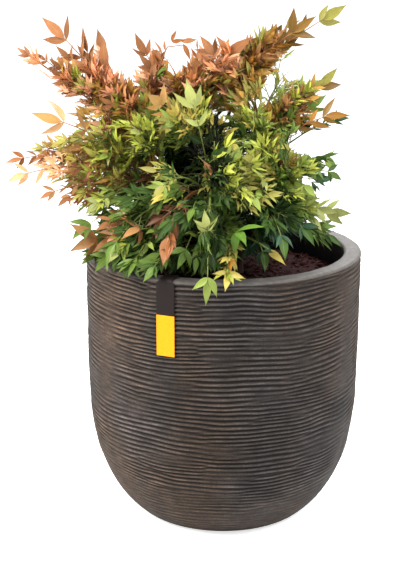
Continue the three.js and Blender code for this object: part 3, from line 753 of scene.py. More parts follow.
class Line:
    """A curve given by points, read by shares of its length."""

    def __init__(self, points):
        self.points = points
        steps = np.linalg.norm(np.diff(points, axis=0), axis=1)
        self.length = float(steps.sum())
        self.shares = np.concatenate([[0], np.cumsum(steps)]) / max(self.length, 1e-9)

    def at(self, shares):
        """Points at shares of the length."""
        return np.stack([np.interp(shares, self.shares, self.points[:, axis]) for axis in range(3)], -1)

    def part(self, start, end, count=41):
        """The stretch between two shares, as a line of its own."""
        return Line(self.at(np.linspace(start, end, count)))

    def frame(self, share, roll=0.0):
        """Point, along, across and over at a share, with across and over turned about along by degrees."""
        point = self.at(share)
        along = unit(self.at(min(share + 0.01, 1)) - self.at(max(share - 0.01, 0)))
        chord = unit(self.points[-1] - self.points[0])
        reference = FRONT_TO_BACK if abs(chord[2]) > STEEP else UP
        across = unit(np.cross(along, reference))
        over = np.cross(across, along)
        turn = math.radians(roll)
        turned = across * math.cos(turn) - over * math.sin(turn)
        return point, along, turned, across * math.sin(turn) + over * math.cos(turn)


# %% Tubes
JOINT_PITCH = 27  # between rings of old leaf bases along a cane
JOINT_PLACE = 13  # of a ring in that stretch
JOINT_WIDTH = 1.7
JOINT_SWELL = 0.13


def tube_mesh(paths, radii, sides):
    """Closed tubes of one kind. paths is (tubes, steps, 3) and radii (tubes, steps).

    Each ring is centre + radius (cos a across + sin a over), where across is level.
    """
    tubes, steps = radii.shape
    along = unit(np.gradient(paths, axis=1))
    chord = unit(paths[:, -1] - paths[:, 0])
    reference = np.where(np.abs(chord[:, 2:]) > STEEP, FRONT_TO_BACK[None], UP[None])
    across = unit(np.cross(along, np.broadcast_to(reference[:, None], along.shape)))
    over = np.cross(across, along)
    angle = np.arange(sides) * 2 * np.pi / sides
    ring = across[:, :, None] * np.cos(angle)[:, None] + over[:, :, None] * np.sin(angle)[:, None]
    points = (paths[:, :, None] + ring * radii[:, :, None, None]).reshape(-1, 3)
    offset = (np.arange(tubes) * steps * sides)[:, None, None]
    body = (offset + grid_faces(steps, sides, closed=True)[None]).reshape(-1, 4)
    first = offset[:, 0] + np.arange(sides)
    last = offset[:, 0] + (steps - 1) * sides + np.arange(sides)
    return points, [body[:, ::-1], first, last[:, ::-1]]


def cane_mesh(line, radius_at, seed, sides=22, step=2.4, ridge=0.09):
    """A tube with bark: its radius swells and sinks by ridges along it, rings of old leaf bases, and noise.

    line is read about every step mm, and radius_at gives the smooth radius at shares of its length.
    """
    steps = int(line.length / step) + 2
    share = np.linspace(0, 1, steps)
    angle = np.arange(sides) * 2 * np.pi / sides
    base = radius_at(share)[:, None]
    height = (share * line.length)[:, None]
    unrolled = np.broadcast_arrays(9 * np.cos(angle)[None], 9 * np.sin(angle)[None], height)
    probe = np.stack(unrolled, -1).reshape(-1, 3)
    long_ridges = noise(probe, (4.5, 4.5, 34), seed).reshape(steps, sides)
    rough = noise(probe, (3.0, 3.0, 3.4), seed + 1).reshape(steps, sides)
    joint = np.exp(-(((height + 6 * (seed % 3)) % JOINT_PITCH - JOINT_PLACE) / JOINT_WIDTH) ** 2)
    radii = base * (1 + ridge * long_ridges + 0.6 * ridge * rough + JOINT_SWELL * joint)
    centre = line.at(share)
    along = unit(np.gradient(centre, axis=0))
    across = unit(np.cross(along, FRONT_TO_BACK))
    over = np.cross(across, along)
    ring = across[:, None] * np.cos(angle)[:, None] + over[:, None] * np.sin(angle)[:, None]
    points = (centre[:, None] + ring * radii[..., None]).reshape(-1, 3)
    faces = [grid_faces(steps, sides, closed=True)[:, ::-1], np.arange(sides)[None],
             (np.arange(sides) + (steps - 1) * sides)[None, ::-1]]
    return points, faces


# %% [markdown]
# ## Canes and leaf stalks
# Seven canes come out of the soil, upright at the foot, and lean outwards as they rise. They are thin,
# unbranched and rough, with long fissures and a low ring wherever an old leaf sat. Some masses of
# foliage leave their cane on a bare, smooth stalk. Both follow the lines of the frame's solids. The rings
# and fissures are real relief, because light from the side would show that a bump is flat.

# %% Where the canes and masses are
GROUND = 315.3
CANE_FOOT_RADIUS = 4.6
CANE_TOP_RADIUS = 2.6
CANE_FLARE = 2.2
FLARE_FALL = 9
BARK_SHARE = 0.95  # of those radii, so the ridges of the bark stay near the frame's own surface
BOUGH_RADIUS = 2.9
BOUGH_TAPER = 0.5
CANES = {
    # name: (foot on the soil, top)
    "left": ((-34, -6), (-98, -14, 488)),
    "low_left": ((-38, 18), (-112, 34, 430)),
    "centre": ((-14, 4), (-40, 4, 516)),
    "right": ((10, 4), (48, 6, 500)),
    "low_right": ((20, -16), (66, -46, 430)),
    "front": ((-10, -26), (-16, -72, 446)),
    "back": ((-14, 30), (-24, 88, 480)),
}
MASSES = {
    # name: (cane, share of its line, furthest tip, arch, spread, bare share, palette,
    #        leaflet, end leaflet, pairs of those, rise). The arch is how far the stem bows up, the spread
    #        how far its side twigs reach, and the rise how far its leaflets turn upwards.
    "left_high": ("left", 1.0, (-222, -10, 634), 8, 36, 0, "copper", 18, 39, 2, 0.35),
    "left_top": ("left", 0.9, (-160, 34, 616), -20, 36, 0, "copper", 18, 38, 0, 0.2),
    "left_upper": ("left", 0.7, (-250, -36, 598), 10, 52, 0, "copper", 19, 18, 2, 0.1),
    "left_gold": ("left", 0.52, (-234, -50, 521), 18, 58, 0.3, "peach", 17, 40, 2, 0.1),
    "left_reach": ("low_left", 0.85, (-274, -10, 453), 24, 44, 0.3, "rust", 15, 22, 4, -0.1),
    "left_front": ("left", 0.42, (-260, -84, 445), 34, 52, 0.28, "peach", 17, 25, 4, 0.35),
    "left_low": ("low_left", 0.66, (-203, -60, 408), 32, 60, 0.24, "amber", 16, 20, 3, 0.0),
    "left_rim": ("low_left", 0.4, (-182, -102, 380), 30, 54, 0, "deep", 19, 30, 2, -0.1),
    "left_back": ("low_left", 1.0, (-206, 96, 470), 28, 66, 0, "green", 19, 28, 2, 0.0),
    "left_back_low": ("low_left", 0.5, (-160, 140, 390), 36, 62, 0.3, "deep", 22, 32, 2, -0.3),
    "crown_left": ("centre", 1.0, (-111, 0, 613), -8, 54, 0, "copper", 18, 30, 2, 0.6),
    "crown_arch": ("centre", 0.9, (-30, -30, 580), 46, 38, 0, "rust", 14, 16, 5, -0.2),
    "crown_front_left": ("centre", 0.82, (-85, -118, 551), 2, 46, 0, "peach", 17, 31, 4, 0.5),
    "crown_middle": ("centre", 0.6, (18, -110, 486), 22, 60, 0, "lime", 16, 22, 3, 0.1),
    "crown_back": ("centre", 0.86, (-96, 118, 580), 26, 64, 0, "rust", 18, 30, 2, 0.2),
    "right_high": ("centre", 1.0, (148, 0, 647), 4, 42, 0, "bronze", 19, 33, 4, 0.3),
    "right_tall": ("centre", 0.9, (96, 32, 621), 6, 46, 0, "bronze", 18, 24, 3, 0.3),
    "right_top": ("centre", 1.0, (30, -30, 613), 10, 52, 0, "copper", 18, 42, 0, 0.3),
    "right_upper": ("right", 0.74, (138, -20, 573), 2, 46, 0, "bronze", 17, 31, 3, 0.1),
    "right_back": ("right", 0.8, (100, 120, 556), 30, 66, 0.3, "olive", 18, 28, 2, 0.2),
    "right_gold": ("right", 0.58, (151, -50, 521), 24, 52, 0.3, "gold", 20, 31, 4, -0.6),
    "right_lime": ("low_right", 1.0, (90, -120, 493), 22, 56, 0, "lime", 16, 22, 4, 0.3),
    "right_level": ("low_right", 0.9, (146, 20, 446), 24, 48, 0, "green", 17, 24, 3, 0.0),
    "right_reach": ("low_right", 0.7, (157, -60, 401), 3, 40, 0, "sage", 18, 29, 5, 0.2),
    "right_rim": ("low_right", 0.4, (150, -40, 356), 20, 38, 0, "dusk", 21, 26, 2, -0.1),
    "right_back_low": ("low_right", 0.6, (130, 100, 406), 34, 62, 0.3, "dusk", 21, 30, 2, -0.2),
    "front_high": ("front", 1.0, (-44, -100, 567), 8, 44, 0, "sage", 17, 32, 3, 0.3),
    "front_upper": ("front", 0.8, (-9, -150, 493), 12, 58, 0, "fresh", 16, 24, 2, 0.3),
    "front_left": ("front", 0.5, (-142, -136, 356), 48, 56, 0.2, "deep", 21, 30, 2, -0.2),
    "front_peach": ("front", 0.7, (-72, -170, 364), 45, 52, 0, "autumn", 19, 36, 0, -0.4),
    "front_fall": ("front", 0.72, (-18, -196, 324), 60, 42, 0, "falling", 18, 32, 1, -0.2),
    "front_right": ("low_right", 0.5, (74, -152, 368), 40, 54, 0, "dusk", 21, 30, 2, -0.2),
    "front_middle": ("front", 0.85, (44, -150, 424), 22, 60, 0, "lime", 16, 22, 3, 0.1),
    "back_high": ("back", 1.0, (-18, 172, 556), 24, 66, 0, "olive", 18, 28, 2, 0.3),
    "back_left": ("back", 0.8, (-124, 176, 478), 34, 64, 0.3, "green", 19, 28, 2, 0.0),
    "back_right": ("back", 0.8, (62, 184, 470), 34, 64, 0.3, "green", 19, 28, 2, 0.0),
    "back_low": ("back", 0.45, (-34, 186, 388), 32, 60, 0.34, "deep", 22, 30, 2, -0.3),
}
BETWEEN = {
    # name: the same values, for smaller leaves that fill between the masses and over the rim. Those with
    # no spread have no side twigs, only their end leaflets.
    "arch_peak": ("left", 1.0, (-39, -30, 582), 63, 26, 0.25, "rust", 18, 21, 6, 0.0),
    "arch_leaf": ("centre", 1.0, (-71, -20, 599), -6, 38, 0, "copper", 16, 30, 1, 0.3),
    "arch_foot": ("centre", 1.0, (-34, -24, 586), 4, 36, 0, "rust", 15, 22, 2, 0.3),
    "top_left_blade": ("right", 0.9, (-28, -30, 612), 6, 38, 0, "copper", 15, 28, 1, 0.7),
    "top_middle_blade": ("right", 1.0, (-9, -26, 612), 6, 34, 0, "copper", 15, 28, 0, 0.6),
    "top_fine_left": ("centre", 1.0, (42, 8, 609), 6, 34, 0.3, "bronze", 14, 16, 3, 0.2),
    "top_fine_middle": ("centre", 0.95, (72, 8, 622), 6, 34, 0.4, "bronze", 14, 16, 4, 0.2),
    "top_fine_right": ("centre", 1.0, (92, 8, 629), 6, 34, 0.4, "bronze", 15, 16, 4, 0.2),
    "left_blade": ("low_left", 1.0, (-172, -20, 623), -34, 0, 0.6, "copper", 18, 34, 0, 0.3),
    "left_blade_low": ("low_left", 1.0, (-149, -22, 609), -34, 0, 0.6, "copper", 18, 40, 0, 0.3),
    "crown_leg": ("centre", 1.0, (-104, -12, 590), -4, 44, 0, "copper", 17, 24, 2, 0.4),
    "arch_leg": ("left", 1.0, (-84, -20, 582), 0, 40, 0, "rust", 16, 24, 2, 0.3),
    "left_high_upper": ("left", 1.0, (-180, -14, 600), 4, 38, 0.2, "copper", 17, 26, 2, 0.2),
    "left_high_arm": ("left", 1.0, (-206, -12, 598), 6, 32, 0.3, "copper", 16, 24, 3, 0.2),
    "right_upper_fill": ("right", 0.85, (118, -16, 556), 4, 40, 0.2, "bronze", 15, 22, 2, 0.1),
    "copper_middle": ("centre", 1.0, (-33, -30, 576), 8, 46, 0, "copper", 15, 20, 1, 0.3),
    "copper_right": ("right", 0.9, (9, -20, 590), 8, 48, 0, "copper", 15, 22, 1, 0.3),
    "copper_far_right": ("right", 0.95, (27, -18, 582), 8, 46, 0, "bronze", 15, 20, 2, 0.3),
    "top_low_left": ("centre", 1.0, (60, 0, 592), 4, 36, 0.3, "bronze", 14, 18, 2, 0.2),
    "top_middle": ("centre", 1.0, (92, 0, 606), 4, 36, 0.4, "bronze", 18, 30, 1, 0.2),
    "high_frond": ("centre", 1.0, (112, -6, 634), 4, 36, 0.4, "bronze", 18, 36, 1, 0.2),
    "right_upper_near": ("right", 0.8, (124, -24, 562), 8, 44, 0, "olive", 14, 20, 2, 0.1),
    "centre_top": ("right", 0.9, (19, -60, 551), 8, 46, 0, "olive", 15, 20, 2, 0.3),
    "centre_upper": ("right", 0.8, (36, -90, 520), 10, 48, 0, "lime", 15, 20, 2, 0.3),
    "high_left_near": ("left", 1.0, (-186, -20, 585), 6, 46, 0, "copper", 19, 22, 2, 0.1),
    "high_left_fine": ("left", 0.95, (-214, -24, 584), 6, 44, 0, "copper", 18, 20, 3, 0.1),
    "high_left_low": ("left", 0.8, (-210, -34, 573), 8, 42, 0, "copper", 18, 26, 2, 0.0),
    "high_left_inner": ("left", 1.0, (-150, -24, 566), 6, 50, 0, "copper", 18, 22, 2, 0.1),
    "inner_left": ("left", 0.8, (-150, -50, 540), 12, 60, 0, "amber", 15, 20, 2, 0.2),
    "inner_front": ("centre", 0.8, (-46, -84, 520), 14, 56, 0, "lime", 15, 20, 2, 0.3),
    "left_reach_near": ("low_left", 0.9, (-238, -30, 460), 22, 42, 0, "rust", 15, 18, 3, -0.1),
    "left_middle_high": ("left", 0.5, (-197, -60, 478), 22, 50, 0, "amber", 16, 22, 2, 0.0),
    "lime_left": ("centre", 0.7, (-74, -110, 522), 14, 46, 0, "lime", 15, 24, 2, 0.2),
    "lime_far_left": ("left", 0.8, (-109, -100, 507), 14, 46, 0, "sage", 15, 22, 2, 0.2),
    "left_hanging": ("left", 0.5, (-211, -60, 483), 34, 32, 0.35, "straw", 15, 20, 2, -0.6),
    "left_mid_rust": ("left", 0.45, (-196, -70, 452), 24, 50, 0, "rust", 16, 22, 3, 0.0),
    "left_front_low": ("left", 0.38, (-222, -84, 424), 30, 42, 0.3, "amber", 15, 20, 3, 0.1),
    "left_low_near": ("low_left", 0.6, (-164, -100, 409), 26, 52, 0, "fresh", 16, 22, 2, 0.0),
    "middle_left": ("low_left", 0.8, (-150, -80, 470), 24, 60, 0, "fresh", 16, 22, 2, 0.0),
    "middle_front": ("front", 0.7, (-80, -150, 440), 28, 60, 0, "lime", 16, 22, 2, 0.0),
    "middle_low": ("front", 0.55, (-40, -150, 410), 30, 58, 0, "deep", 18, 24, 2, -0.1),
    "middle_right": ("low_right", 0.8, (110, -96, 430), 24, 58, 0, "lime", 16, 22, 3, 0.1),
    "bronze_inner": ("front", 0.8, (-10, -136, 452), 22, 30, 0, "rust", 16, 26, 1, -0.7),
    "star": ("front", 0.5, (-20, -190, 430), -26, 0, 0.55, "sage", 16, 31, 2, 0.6),
    "broad": ("front", 0.45, (26, -172, 398), 4, 0, 0.4, "vivid", 20, 40, 1, 0.0),
    "broad_left": ("front", 0.4, (-20, -176, 378), 10, 0, 0.4, "vivid", 20, 34, 0, -0.3),
    "bright_upper": ("right", 0.7, (72, -100, 489), 10, 44, 0.1, "lime", 16, 26, 3, 0.3),
    "bright_middle": ("low_right", 0.9, (58, -112, 474), 14, 44, 0.2, "lime", 15, 24, 3, 0.1),
    "bright_lower": ("low_right", 0.9, (82, -90, 438), 16, 44, 0.2, "lime", 17, 26, 3, 0.1),
    "bright_front": ("low_right", 0.8, (46, -132, 450), 16, 44, 0.2, "fresh", 15, 24, 3, 0.1),
    "right_frond": ("right", 0.5, (152, -36, 516), 20, 24, 0.4, "dusk", 14, 18, 5, 0.1),
    "upper_right_fine": ("right", 0.9, (108, -10, 548), 8, 36, 0, "bronze", 14, 18, 3, 0.1),
    "right_brown": ("low_right", 1.0, (72, -80, 473), 12, 40, 0, "rust", 15, 20, 2, 0.0),
    "right_level_high": ("low_right", 0.95, (149, -14, 434), 20, 34, 0, "deep", 16, 22, 3, 0.0),
    "right_level_dark": ("low_right", 0.95, (120, -20, 436), 20, 44, 0, "deep", 17, 24, 2, 0.0),
    "behind_left": ("back", 0.7, (-66, 60, 478), 14, 60, 0, "deep", 18, 24, 2, 0.0),
    "behind_middle": ("back", 0.8, (-52, 40, 492), 10, 56, 0, "deep", 18, 24, 2, 0.2),
    "behind_right": ("back", 0.7, (24, 60, 474), 14, 60, 0, "deep", 18, 24, 2, 0.0),
    "behind_low_left": ("back", 0.5, (-62, 44, 452), 16, 60, 0, "deep", 20, 24, 2, 0.0),
    "behind_low_right": ("back", 0.5, (20, 66, 440), 16, 60, 0, "deep", 20, 24, 2, 0.0),
    "low_left_blush": ("left", 0.35, (-150, -120, 396), 10, 34, 0.3, "blush", 16, 26, 2, 0.1),
    "right_level_near": ("low_right", 0.95, (115, 0, 457), 20, 44, 0, "lime", 16, 22, 2, 0.0),
    "right_low_near": ("low_right", 0.6, (122, -74, 384), 24, 36, 0, "sage", 17, 24, 2, 0.1),
    "right_low_front": ("low_right", 0.55, (92, -90, 381), 24, 46, 0, "dusk", 18, 26, 2, 0.0),
    "rim_peach": ("low_left", 0.5, (-181, -118, 370), 6, 34, 0.35, "blush", 20, 42, 1, 0.1),
    "rim_blush": ("left", 0.3, (-116, -140, 392), 10, 40, 0.3, "blush", 17, 34, 1, 0.0),
    "rim_far_left": ("low_left", 0.42, (-160, -72, 362), 26, 42, 0, "deep", 19, 26, 2, -0.1),
    "rim_left": ("left", 0.3, (-132, -108, 360), 26, 46, 0, "green", 18, 26, 2, -0.2),
    "rim_left_front": ("left", 0.28, (-104, -136, 358), 28, 46, 0, "deep", 19, 26, 2, -0.2),
    "rim_left_low": ("left", 0.26, (-130, -140, 353), 34, 40, 0, "deep", 18, 24, 2, -0.2),
    "rim_left_edge": ("left", 0.24, (-112, -122, 350), 30, 46, 0, "deep", 17, 22, 2, -0.1),
    "rim_middle_edge": ("front", 0.3, (-78, -142, 350), 30, 46, 0, "deep", 17, 22, 2, -0.1),
    "rim_front_edge": ("front", 0.3, (-34, -150, 350), 30, 44, 0, "deep", 17, 22, 2, -0.1),
    "rim_front_left": ("front", 0.4, (-50, -160, 358), 28, 46, 0, "green", 18, 26, 2, -0.2),
    "rim_front": ("front", 0.36, (6, -164, 360), 28, 46, 0, "deep", 19, 26, 2, -0.1),
    "rim_front_yellow": ("low_right", 0.3, (4, -184, 339), 40, 20, 0.5, "straw", 14, 24, 1, -0.2),
    "rim_front_right": ("low_right", 0.32, (52, -140, 352), 24, 42, 0, "dusk", 21, 28, 2, 0.0),
    "low_right_middle": ("low_right", 0.5, (110, -100, 372), 28, 48, 0, "dusk", 21, 28, 2, 0.0),
    "low_back_right": ("back", 0.4, (90, 130, 372), 34, 54, 0, "deep", 21, 26, 2, -0.1),
    "rim_low_left": ("left", 0.2, (-92, -104, 342), 22, 50, 0, "deep", 19, 24, 2, 0.0),
    "rim_low_middle": ("front", 0.2, (-64, -122, 340), 22, 50, 0, "deep", 19, 24, 2, 0.0),
    "rim_low_front": ("front", 0.2, (-24, -128, 340), 22, 50, 0, "deep", 19, 24, 2, 0.0),
    "rim_over_left": ("left", 0.25, (-152, -132, 347), 24, 42, 0, "deep", 20, 26, 2, -0.1),
    "rim_over_middle": ("left", 0.22, (-116, -164, 347), 26, 42, 0, "deep", 20, 26, 2, -0.1),
    "rim_over_far_left": ("low_left", 0.3, (-170, -104, 347), 22, 42, 0, "deep", 20, 26, 2, -0.1),
    "low_back_left": ("back", 0.4, (-110, 120, 372), 34, 54, 0, "deep", 21, 26, 2, -0.1),
    "rim_over_front": ("front", 0.25, (-90, -180, 348), 26, 42, 0, "deep", 20, 26, 2, -0.1),
    "rim_over_lime": ("left", 0.3, (-134, -140, 360), 26, 40, 0, "fresh", 18, 26, 2, 0.0),
    "rim_over_green": ("left", 0.26, (-98, -140, 366), 24, 44, 0, "green", 20, 26, 2, 0.0),
    "right_upper_low": ("right", 0.75, (126, -24, 540), 4, 40, 0, "green", 16, 26, 3, 0.1),
    "high_left_thread": ("left", 0.9, (-228, -32, 592), 4, 30, 0.4, "copper", 15, 16, 4, 0.1),
    "back_rim_left": ("back", 0.35, (-70, 146, 358), 24, 50, 0, "deep", 20, 26, 2, -0.1),
    "back_rim_middle": ("back", 0.3, (-8, 160, 358), 26, 50, 0, "deep", 20, 26, 2, -0.1),
    "back_rim_right": ("back", 0.35, (46, 148, 358), 24, 50, 0, "deep", 20, 26, 2, -0.1),
    "back_rim_far_left": ("low_left", 0.35, (-120, 100, 358), 24, 46, 0, "deep", 20, 26, 2, -0.1),
    "right_reach_near": ("low_right", 0.75, (138, -84, 408), 5, 34, 0.2, "sage", 16, 26, 3, 0.3),
    "rim_peach_near": ("low_left", 0.45, (-152, -126, 372), 5, 34, 0.4, "blush", 20, 42, 0, 0.0),
    "rim_front_arch": ("front", 0.35, (72, -142, 358), 16, 0, 0.5, "straw", 12, 34, 0, 0.0),
    "lime_right_inner": ("low_right", 1.0, (24, -118, 480), 12, 48, 0.2, "lime", 15, 22, 3, 0.3),
    "lime_right_lower": ("low_right", 0.8, (40, -136, 434), 20, 48, 0.2, "lime", 16, 24, 3, 0.1),
    "straw_right_inner": ("front", 0.9, (6, -156, 458), 12, 36, 0.3, "lime", 14, 20, 2, 0.3),
    "lime_right_fan": ("right", 0.7, (70, -80, 500), 10, 50, 0.1, "lime", 16, 22, 3, 0.3),
    "lime_right_side": ("low_right", 1.0, (104, -60, 478), 12, 48, 0.1, "lime", 16, 24, 3, 0.1),
    "behind_opening": ("back", 0.8, (-92, 50, 468), 10, 60, 0, "deep", 18, 24, 2, 0.1),
    "behind_opening_low": ("back", 0.65, (-84, 34, 450), 10, 60, 0, "deep", 18, 24, 2, 0.0),
    "olive_right_side": ("right", 0.6, (112, -30, 500), 14, 48, 0.1, "olive", 16, 24, 3, 0.1),
}


def cane_line(name):
    """Foot, then straight up to 55% of the height, then the top."""
    foot, top = CANES[name]
    bend = GROUND + 0.55 * (top[2] - GROUND)
    return curve_points(np.array([*foot, GROUND]), np.array([*foot, bend]), np.array(top, float))


def mass_line(cane, at, tip, arch):
    """From the cane to the tip. The middle point is raised by twice the arch, so the curve by the arch."""
    points = cane_line(cane)
    start = points[round(at * (len(points) - 1))]
    end = np.array(tip, float)
    return Line(curve_points(start, (start + end) / 2 + 2 * arch * UP, end))


# %% Bark and stalk finishes
def bark_material(name, code, streak, roughness):
    """Brown, streaked along the height, with fine cracks."""
    material, tree, shader = new_material(name)
    colour = mottled(tree, linear(code), 420, streak, (1, 1, 0.2))
    tree.links.new(mottled(tree, colour, 60, 0.3), shader.inputs["Base Color"])
    shader.inputs["Roughness"].default_value = roughness
    tree.links.new(relief(tree, 900, 0.6, 0.5, (1, 1, 0.25)), shader.inputs["Normal"])
    return material


bark = bark_material("cane bark", "#4e3b2e", 0.7, 0.85)
stalk = bark_material("leaf stalk", "#7a6a38", 0.3, 0.5)

# %% Canes and stalks
for number, name in enumerate(CANES):
    line = Line(cane_line(name))
    rise = CANES[name][1][2] - GROUND

    def cane_radius(share):
        """Tapers from foot to top, with a flare that dies away as exp(-height / 9 mm)."""
        taper = CANE_FOOT_RADIUS + (CANE_TOP_RADIUS - CANE_FOOT_RADIUS) * share
        return (taper + CANE_FLARE * np.exp(-share * rise / FLARE_FALL)) * BARK_SHARE

    add_piece(f"cane_{name}_bark", *cane_mesh(line, cane_radius, number), [bark], "canes", [f"cane_{name}"])


def bough_radius(share):
    """Tapers a little towards the leaf."""
    return BOUGH_RADIUS - BOUGH_TAPER * share


for number, (name, values) in enumerate(MASSES.items(), start=50):
    bare = values[5]
    if bare == 0:
        continue
    line = mass_line(*values[:4]).part(0.0, bare)
    mesh = cane_mesh(line, bough_radius, number, sides=12, ridge=0.03)
    add_piece(f"stalk_{name}", *mesh, [stalk], "leaf_stalks", [f"bough_{name}"])

# %% [markdown]
# ## The growing rule
# A mass of foliage is one large leaf, three times divided. From its stem, side twigs leave in pairs at
# swollen nodes; from a side twig, finer twigs leave in pairs; and a finer twig bears leaflets in pairs
# and one at its end. Near the tip the twigs get shorter until the stem bears leaflets itself, and these
# are the largest. Every angle, lift and length strays a little by `chance`. The frame's solids were
# grown by the same rule with fewer nodes, so the finer growth fills the same space. Smaller leaves
# between the masses close the crown and hang over the rim; a few of them are single blades on a bare
# stem. A leaflet or twig that would stand before open sky, or before the dark opening at the front of
# the crown, is left out. Leaf cards scattered over a rough shape would be quicker to make, but they
# float; grown this way, every leaflet sits on a twig, and every twig on its stem.
#
# The rule only writes lists: one row for each leaflet and each twig. The meshes are made from them
# later, all at once.

# %% Growing values
STEM_NODES = (
    # share of the stem, reach as a share of the spread, roll; the first two are the frame's own
    (0.3, 0.95, 30), (0.62, 0.8, -25), (0.14, 0.85, -60), (0.46, 0.9, 80), (0.78, 0.62, 62), (0.92, 0.45, 10),
)
NODE_SHIFT = 0.04
TWIG_ANGLE = 46
TWIG_LIFT = 0.22
TWIG_DROOP = 0.14  # how far a side twig's end sinks, as a share of its length
FINE_NODES = ((0.22, 0.5), (0.49, 0.4), (0.75, 0.26))  # share of a side twig, length of the fine twigs there
PLAIN_FROM = 0.66  # side twigs past this share of the stem bear leaflets only, and no fine twigs
PLAIN_SIZE = 1.15  # and those leaflets are larger
WANDER = 10  # degrees
ROLL_WANDER = 20
FACING = 0.4  # how far a spray faces the front or back
UPRIGHT = 1.1  # the same for the large leaflets at a tip
BEHIND = 60  # sprays past this y face the back
SPRAY_TILT = 50  # how far a whole spray turns out of the outward plane
LEAF_ANGLE = 42
LEAF_LIFT = 0.24
LEAF_ROLL = 48
LEAF_VARIES = 0.26  # how much its length strays, as a share of it
LIFT_AGAIN = 0.45  # added to a leaflet's direction each time it would meet the pot
PAIR_STEP = 0.7  # between leaflet pairs, as a share of a leaflet
PAIR_SIZE = 0.86  # of paired leaflets on a fine twig, as a share of the one at its end
TIP_SIZE = 1.2  # of the leaflet at the tip of a side twig
END_STEP = 0.72  # between pairs of end leaflets, as a share of one
END_ANGLE = 50
END_SIZE = 0.88  # of the pair nearest the tip, as a share of the end leaflet
SHORTER = 0.07  # each pair further from the tip is shorter by this share
LONG_ENDS = 27  # end leaflets over this length let side twigs stand only below their pairs
CLEAR = 2.0  # leaflets keep this far from the pot and soil
SLIM = 0.26  # width of a leaflet as a share of its length
WIDE = 0.34  # the same for the end leaflets
SLIM_VARIES = 0.06
STEM_RADII = (1.9, 1.0, 0.5)  # at its foot, at its first end leaflets and at its end
SIDE_TWIG_RADII = (0.85, 0.45)
FINE_TWIG_RADII = (0.5, 0.32)
LEAN = 0.7  # how far leaflets line up with the stem of their spray
LEVEL_OUT = (1.0, 0.35, 1.0)  # that stem's direction counts less along y, so leaflets spread sideways

leaflets = []  # (mass, tint, base, direction, over, length, slimness)
twigs = []  # (mass, kind, path points, first radius, last radius)


def heading(frame_here, angle, side, lift):
    """The way a twig sets off: cos(angle) along + side sin(angle) across + lift over."""
    _, along, across, over = frame_here
    turn = math.radians(angle)
    return unit(along * math.cos(turn) + across * side * math.sin(turn) + over * lift)


def spray_frame(line, share, tilt=0.0, upright=FACING):
    """Point, along, across and over at a share of a line, for a flat spray that turns its face to the light.

    Over points up, away from the plant's middle and, by upright, to the nearer of front and back, as far
    as along allows. The tilt, in degrees, turns the spray about along.
    """
    point, along, _, _ = line.frame(share)
    away = unit(np.array([point[0] + 20, point[1], 0.0]))
    out = 0.5 * away + 0.5 * UP + np.array([0.01, -upright if point[1] < BEHIND else upright, 0])
    over = unit(out - along * (out @ along))
    across = np.cross(along, over)
    turn = math.radians(tilt)
    return (point, along, across * math.cos(turn) - over * math.sin(turn),
            across * math.sin(turn) + over * math.cos(turn))


def in_the_pot(points):
    """Whether any of the points lies in the pot's wall or the soil."""
    reach, z = np.hypot(points[:, 0], points[:, 1]), points[:, 2]
    wall = (reach > POT_RADIUS - WALL - CLEAR) & (reach < POT_RADIUS + CLEAR) & (z < POT_HEIGHT + CLEAR)
    soil = (reach <= POT_RADIUS - WALL) & (z < SOIL_TOP + CLEAR)
    return bool((wall | soil).any())


# %% Open sky
SKY = (
    # places in the picture where the sky shows through: (across, down, half width, half height) in pixels
    (115, 46, 10, 24), (177, 56, 10, 10), (312, 60, 26, 11), (336, 40, 14, 9), (314, 143, 24, 12),
    (308, 181, 7, 5), (27, 84, 23, 11), (173, 67, 7, 7), (291, 66, 12, 9), (270, 92, 8, 7),
    (254, 104, 7, 6), (58, 240, 10, 9), (16, 132, 24, 14), (20, 222, 32, 14),
)
OPENING = (
    # and where the dark middle shows between the sprays at the front
    (190, 174, 14, 20), (204, 152, 8, 7), (189, 243, 10, 6),
)
IN_FRONT = -50  # growth that starts before this y keeps clear of the opening


def within(ellipses, points):
    """Whether any of the points is seen inside one of the ellipses."""
    seen = seen_at(points)[:, None] - np.array([ellipse[:2] for ellipse in ellipses])
    reach = np.array([ellipse[2:] for ellipse in ellipses])
    return bool((((seen / reach) ** 2).sum(-1) < 1).any())


# %% Leaflets and fine twigs
def add_leaflet(mass, tint, base, direction, over, length, lean, *keys, slim=SLIM, roll=LEAF_ROLL,
                varies=LEAF_VARIES):
    """A leaflet, tried three ways: each time it would meet the pot it is lifted, and at last left out.

    It is left out at once where it would be seen before the sky or the opening.
    """
    length *= 1 + stray(varies, mass, *keys, 5)
    share = np.linspace(0, 1, 4)[:, None]
    for attempt in range(3):
        aim = unit(direction + lean + UP * LIFT_AGAIN * attempt)
        probe = base + aim * length * share - UP * 0.1 * length * share**2
        if in_the_pot(probe):
            continue
        if within(SKY, probe[1:]) or base[1] < IN_FRONT and within(OPENING, probe[1:]):
            return
        turn = math.radians(stray(roll, mass, *keys, attempt, 6))
        across = unit(np.cross(over, aim))
        facing = np.cross(aim, across) * math.cos(turn) + across * math.sin(turn)
        leaflets.append((mass, tint, base, aim, facing, length, slim + stray(SLIM_VARIES, mass, *keys, 7)))
        return


def add_twig(mass, kind, start, end, sag, first, last):
    """A twig of three stretches that hangs by sag in its middle, with its first and last radius.

    Returns its line, or nothing if it meets the pot or ends before the sky or the opening.
    """
    share = np.linspace(0, 1, 4)[:, None]
    path = start + (end - start) * share - UP * sag * 4 * share * (1 - share)
    if in_the_pot(path) or within(SKY, path[-1:]) or start[1] < IN_FRONT and within(OPENING, path[-1:]):
        return None
    twigs.append((mass, kind, path, first, last))
    return Line(path)


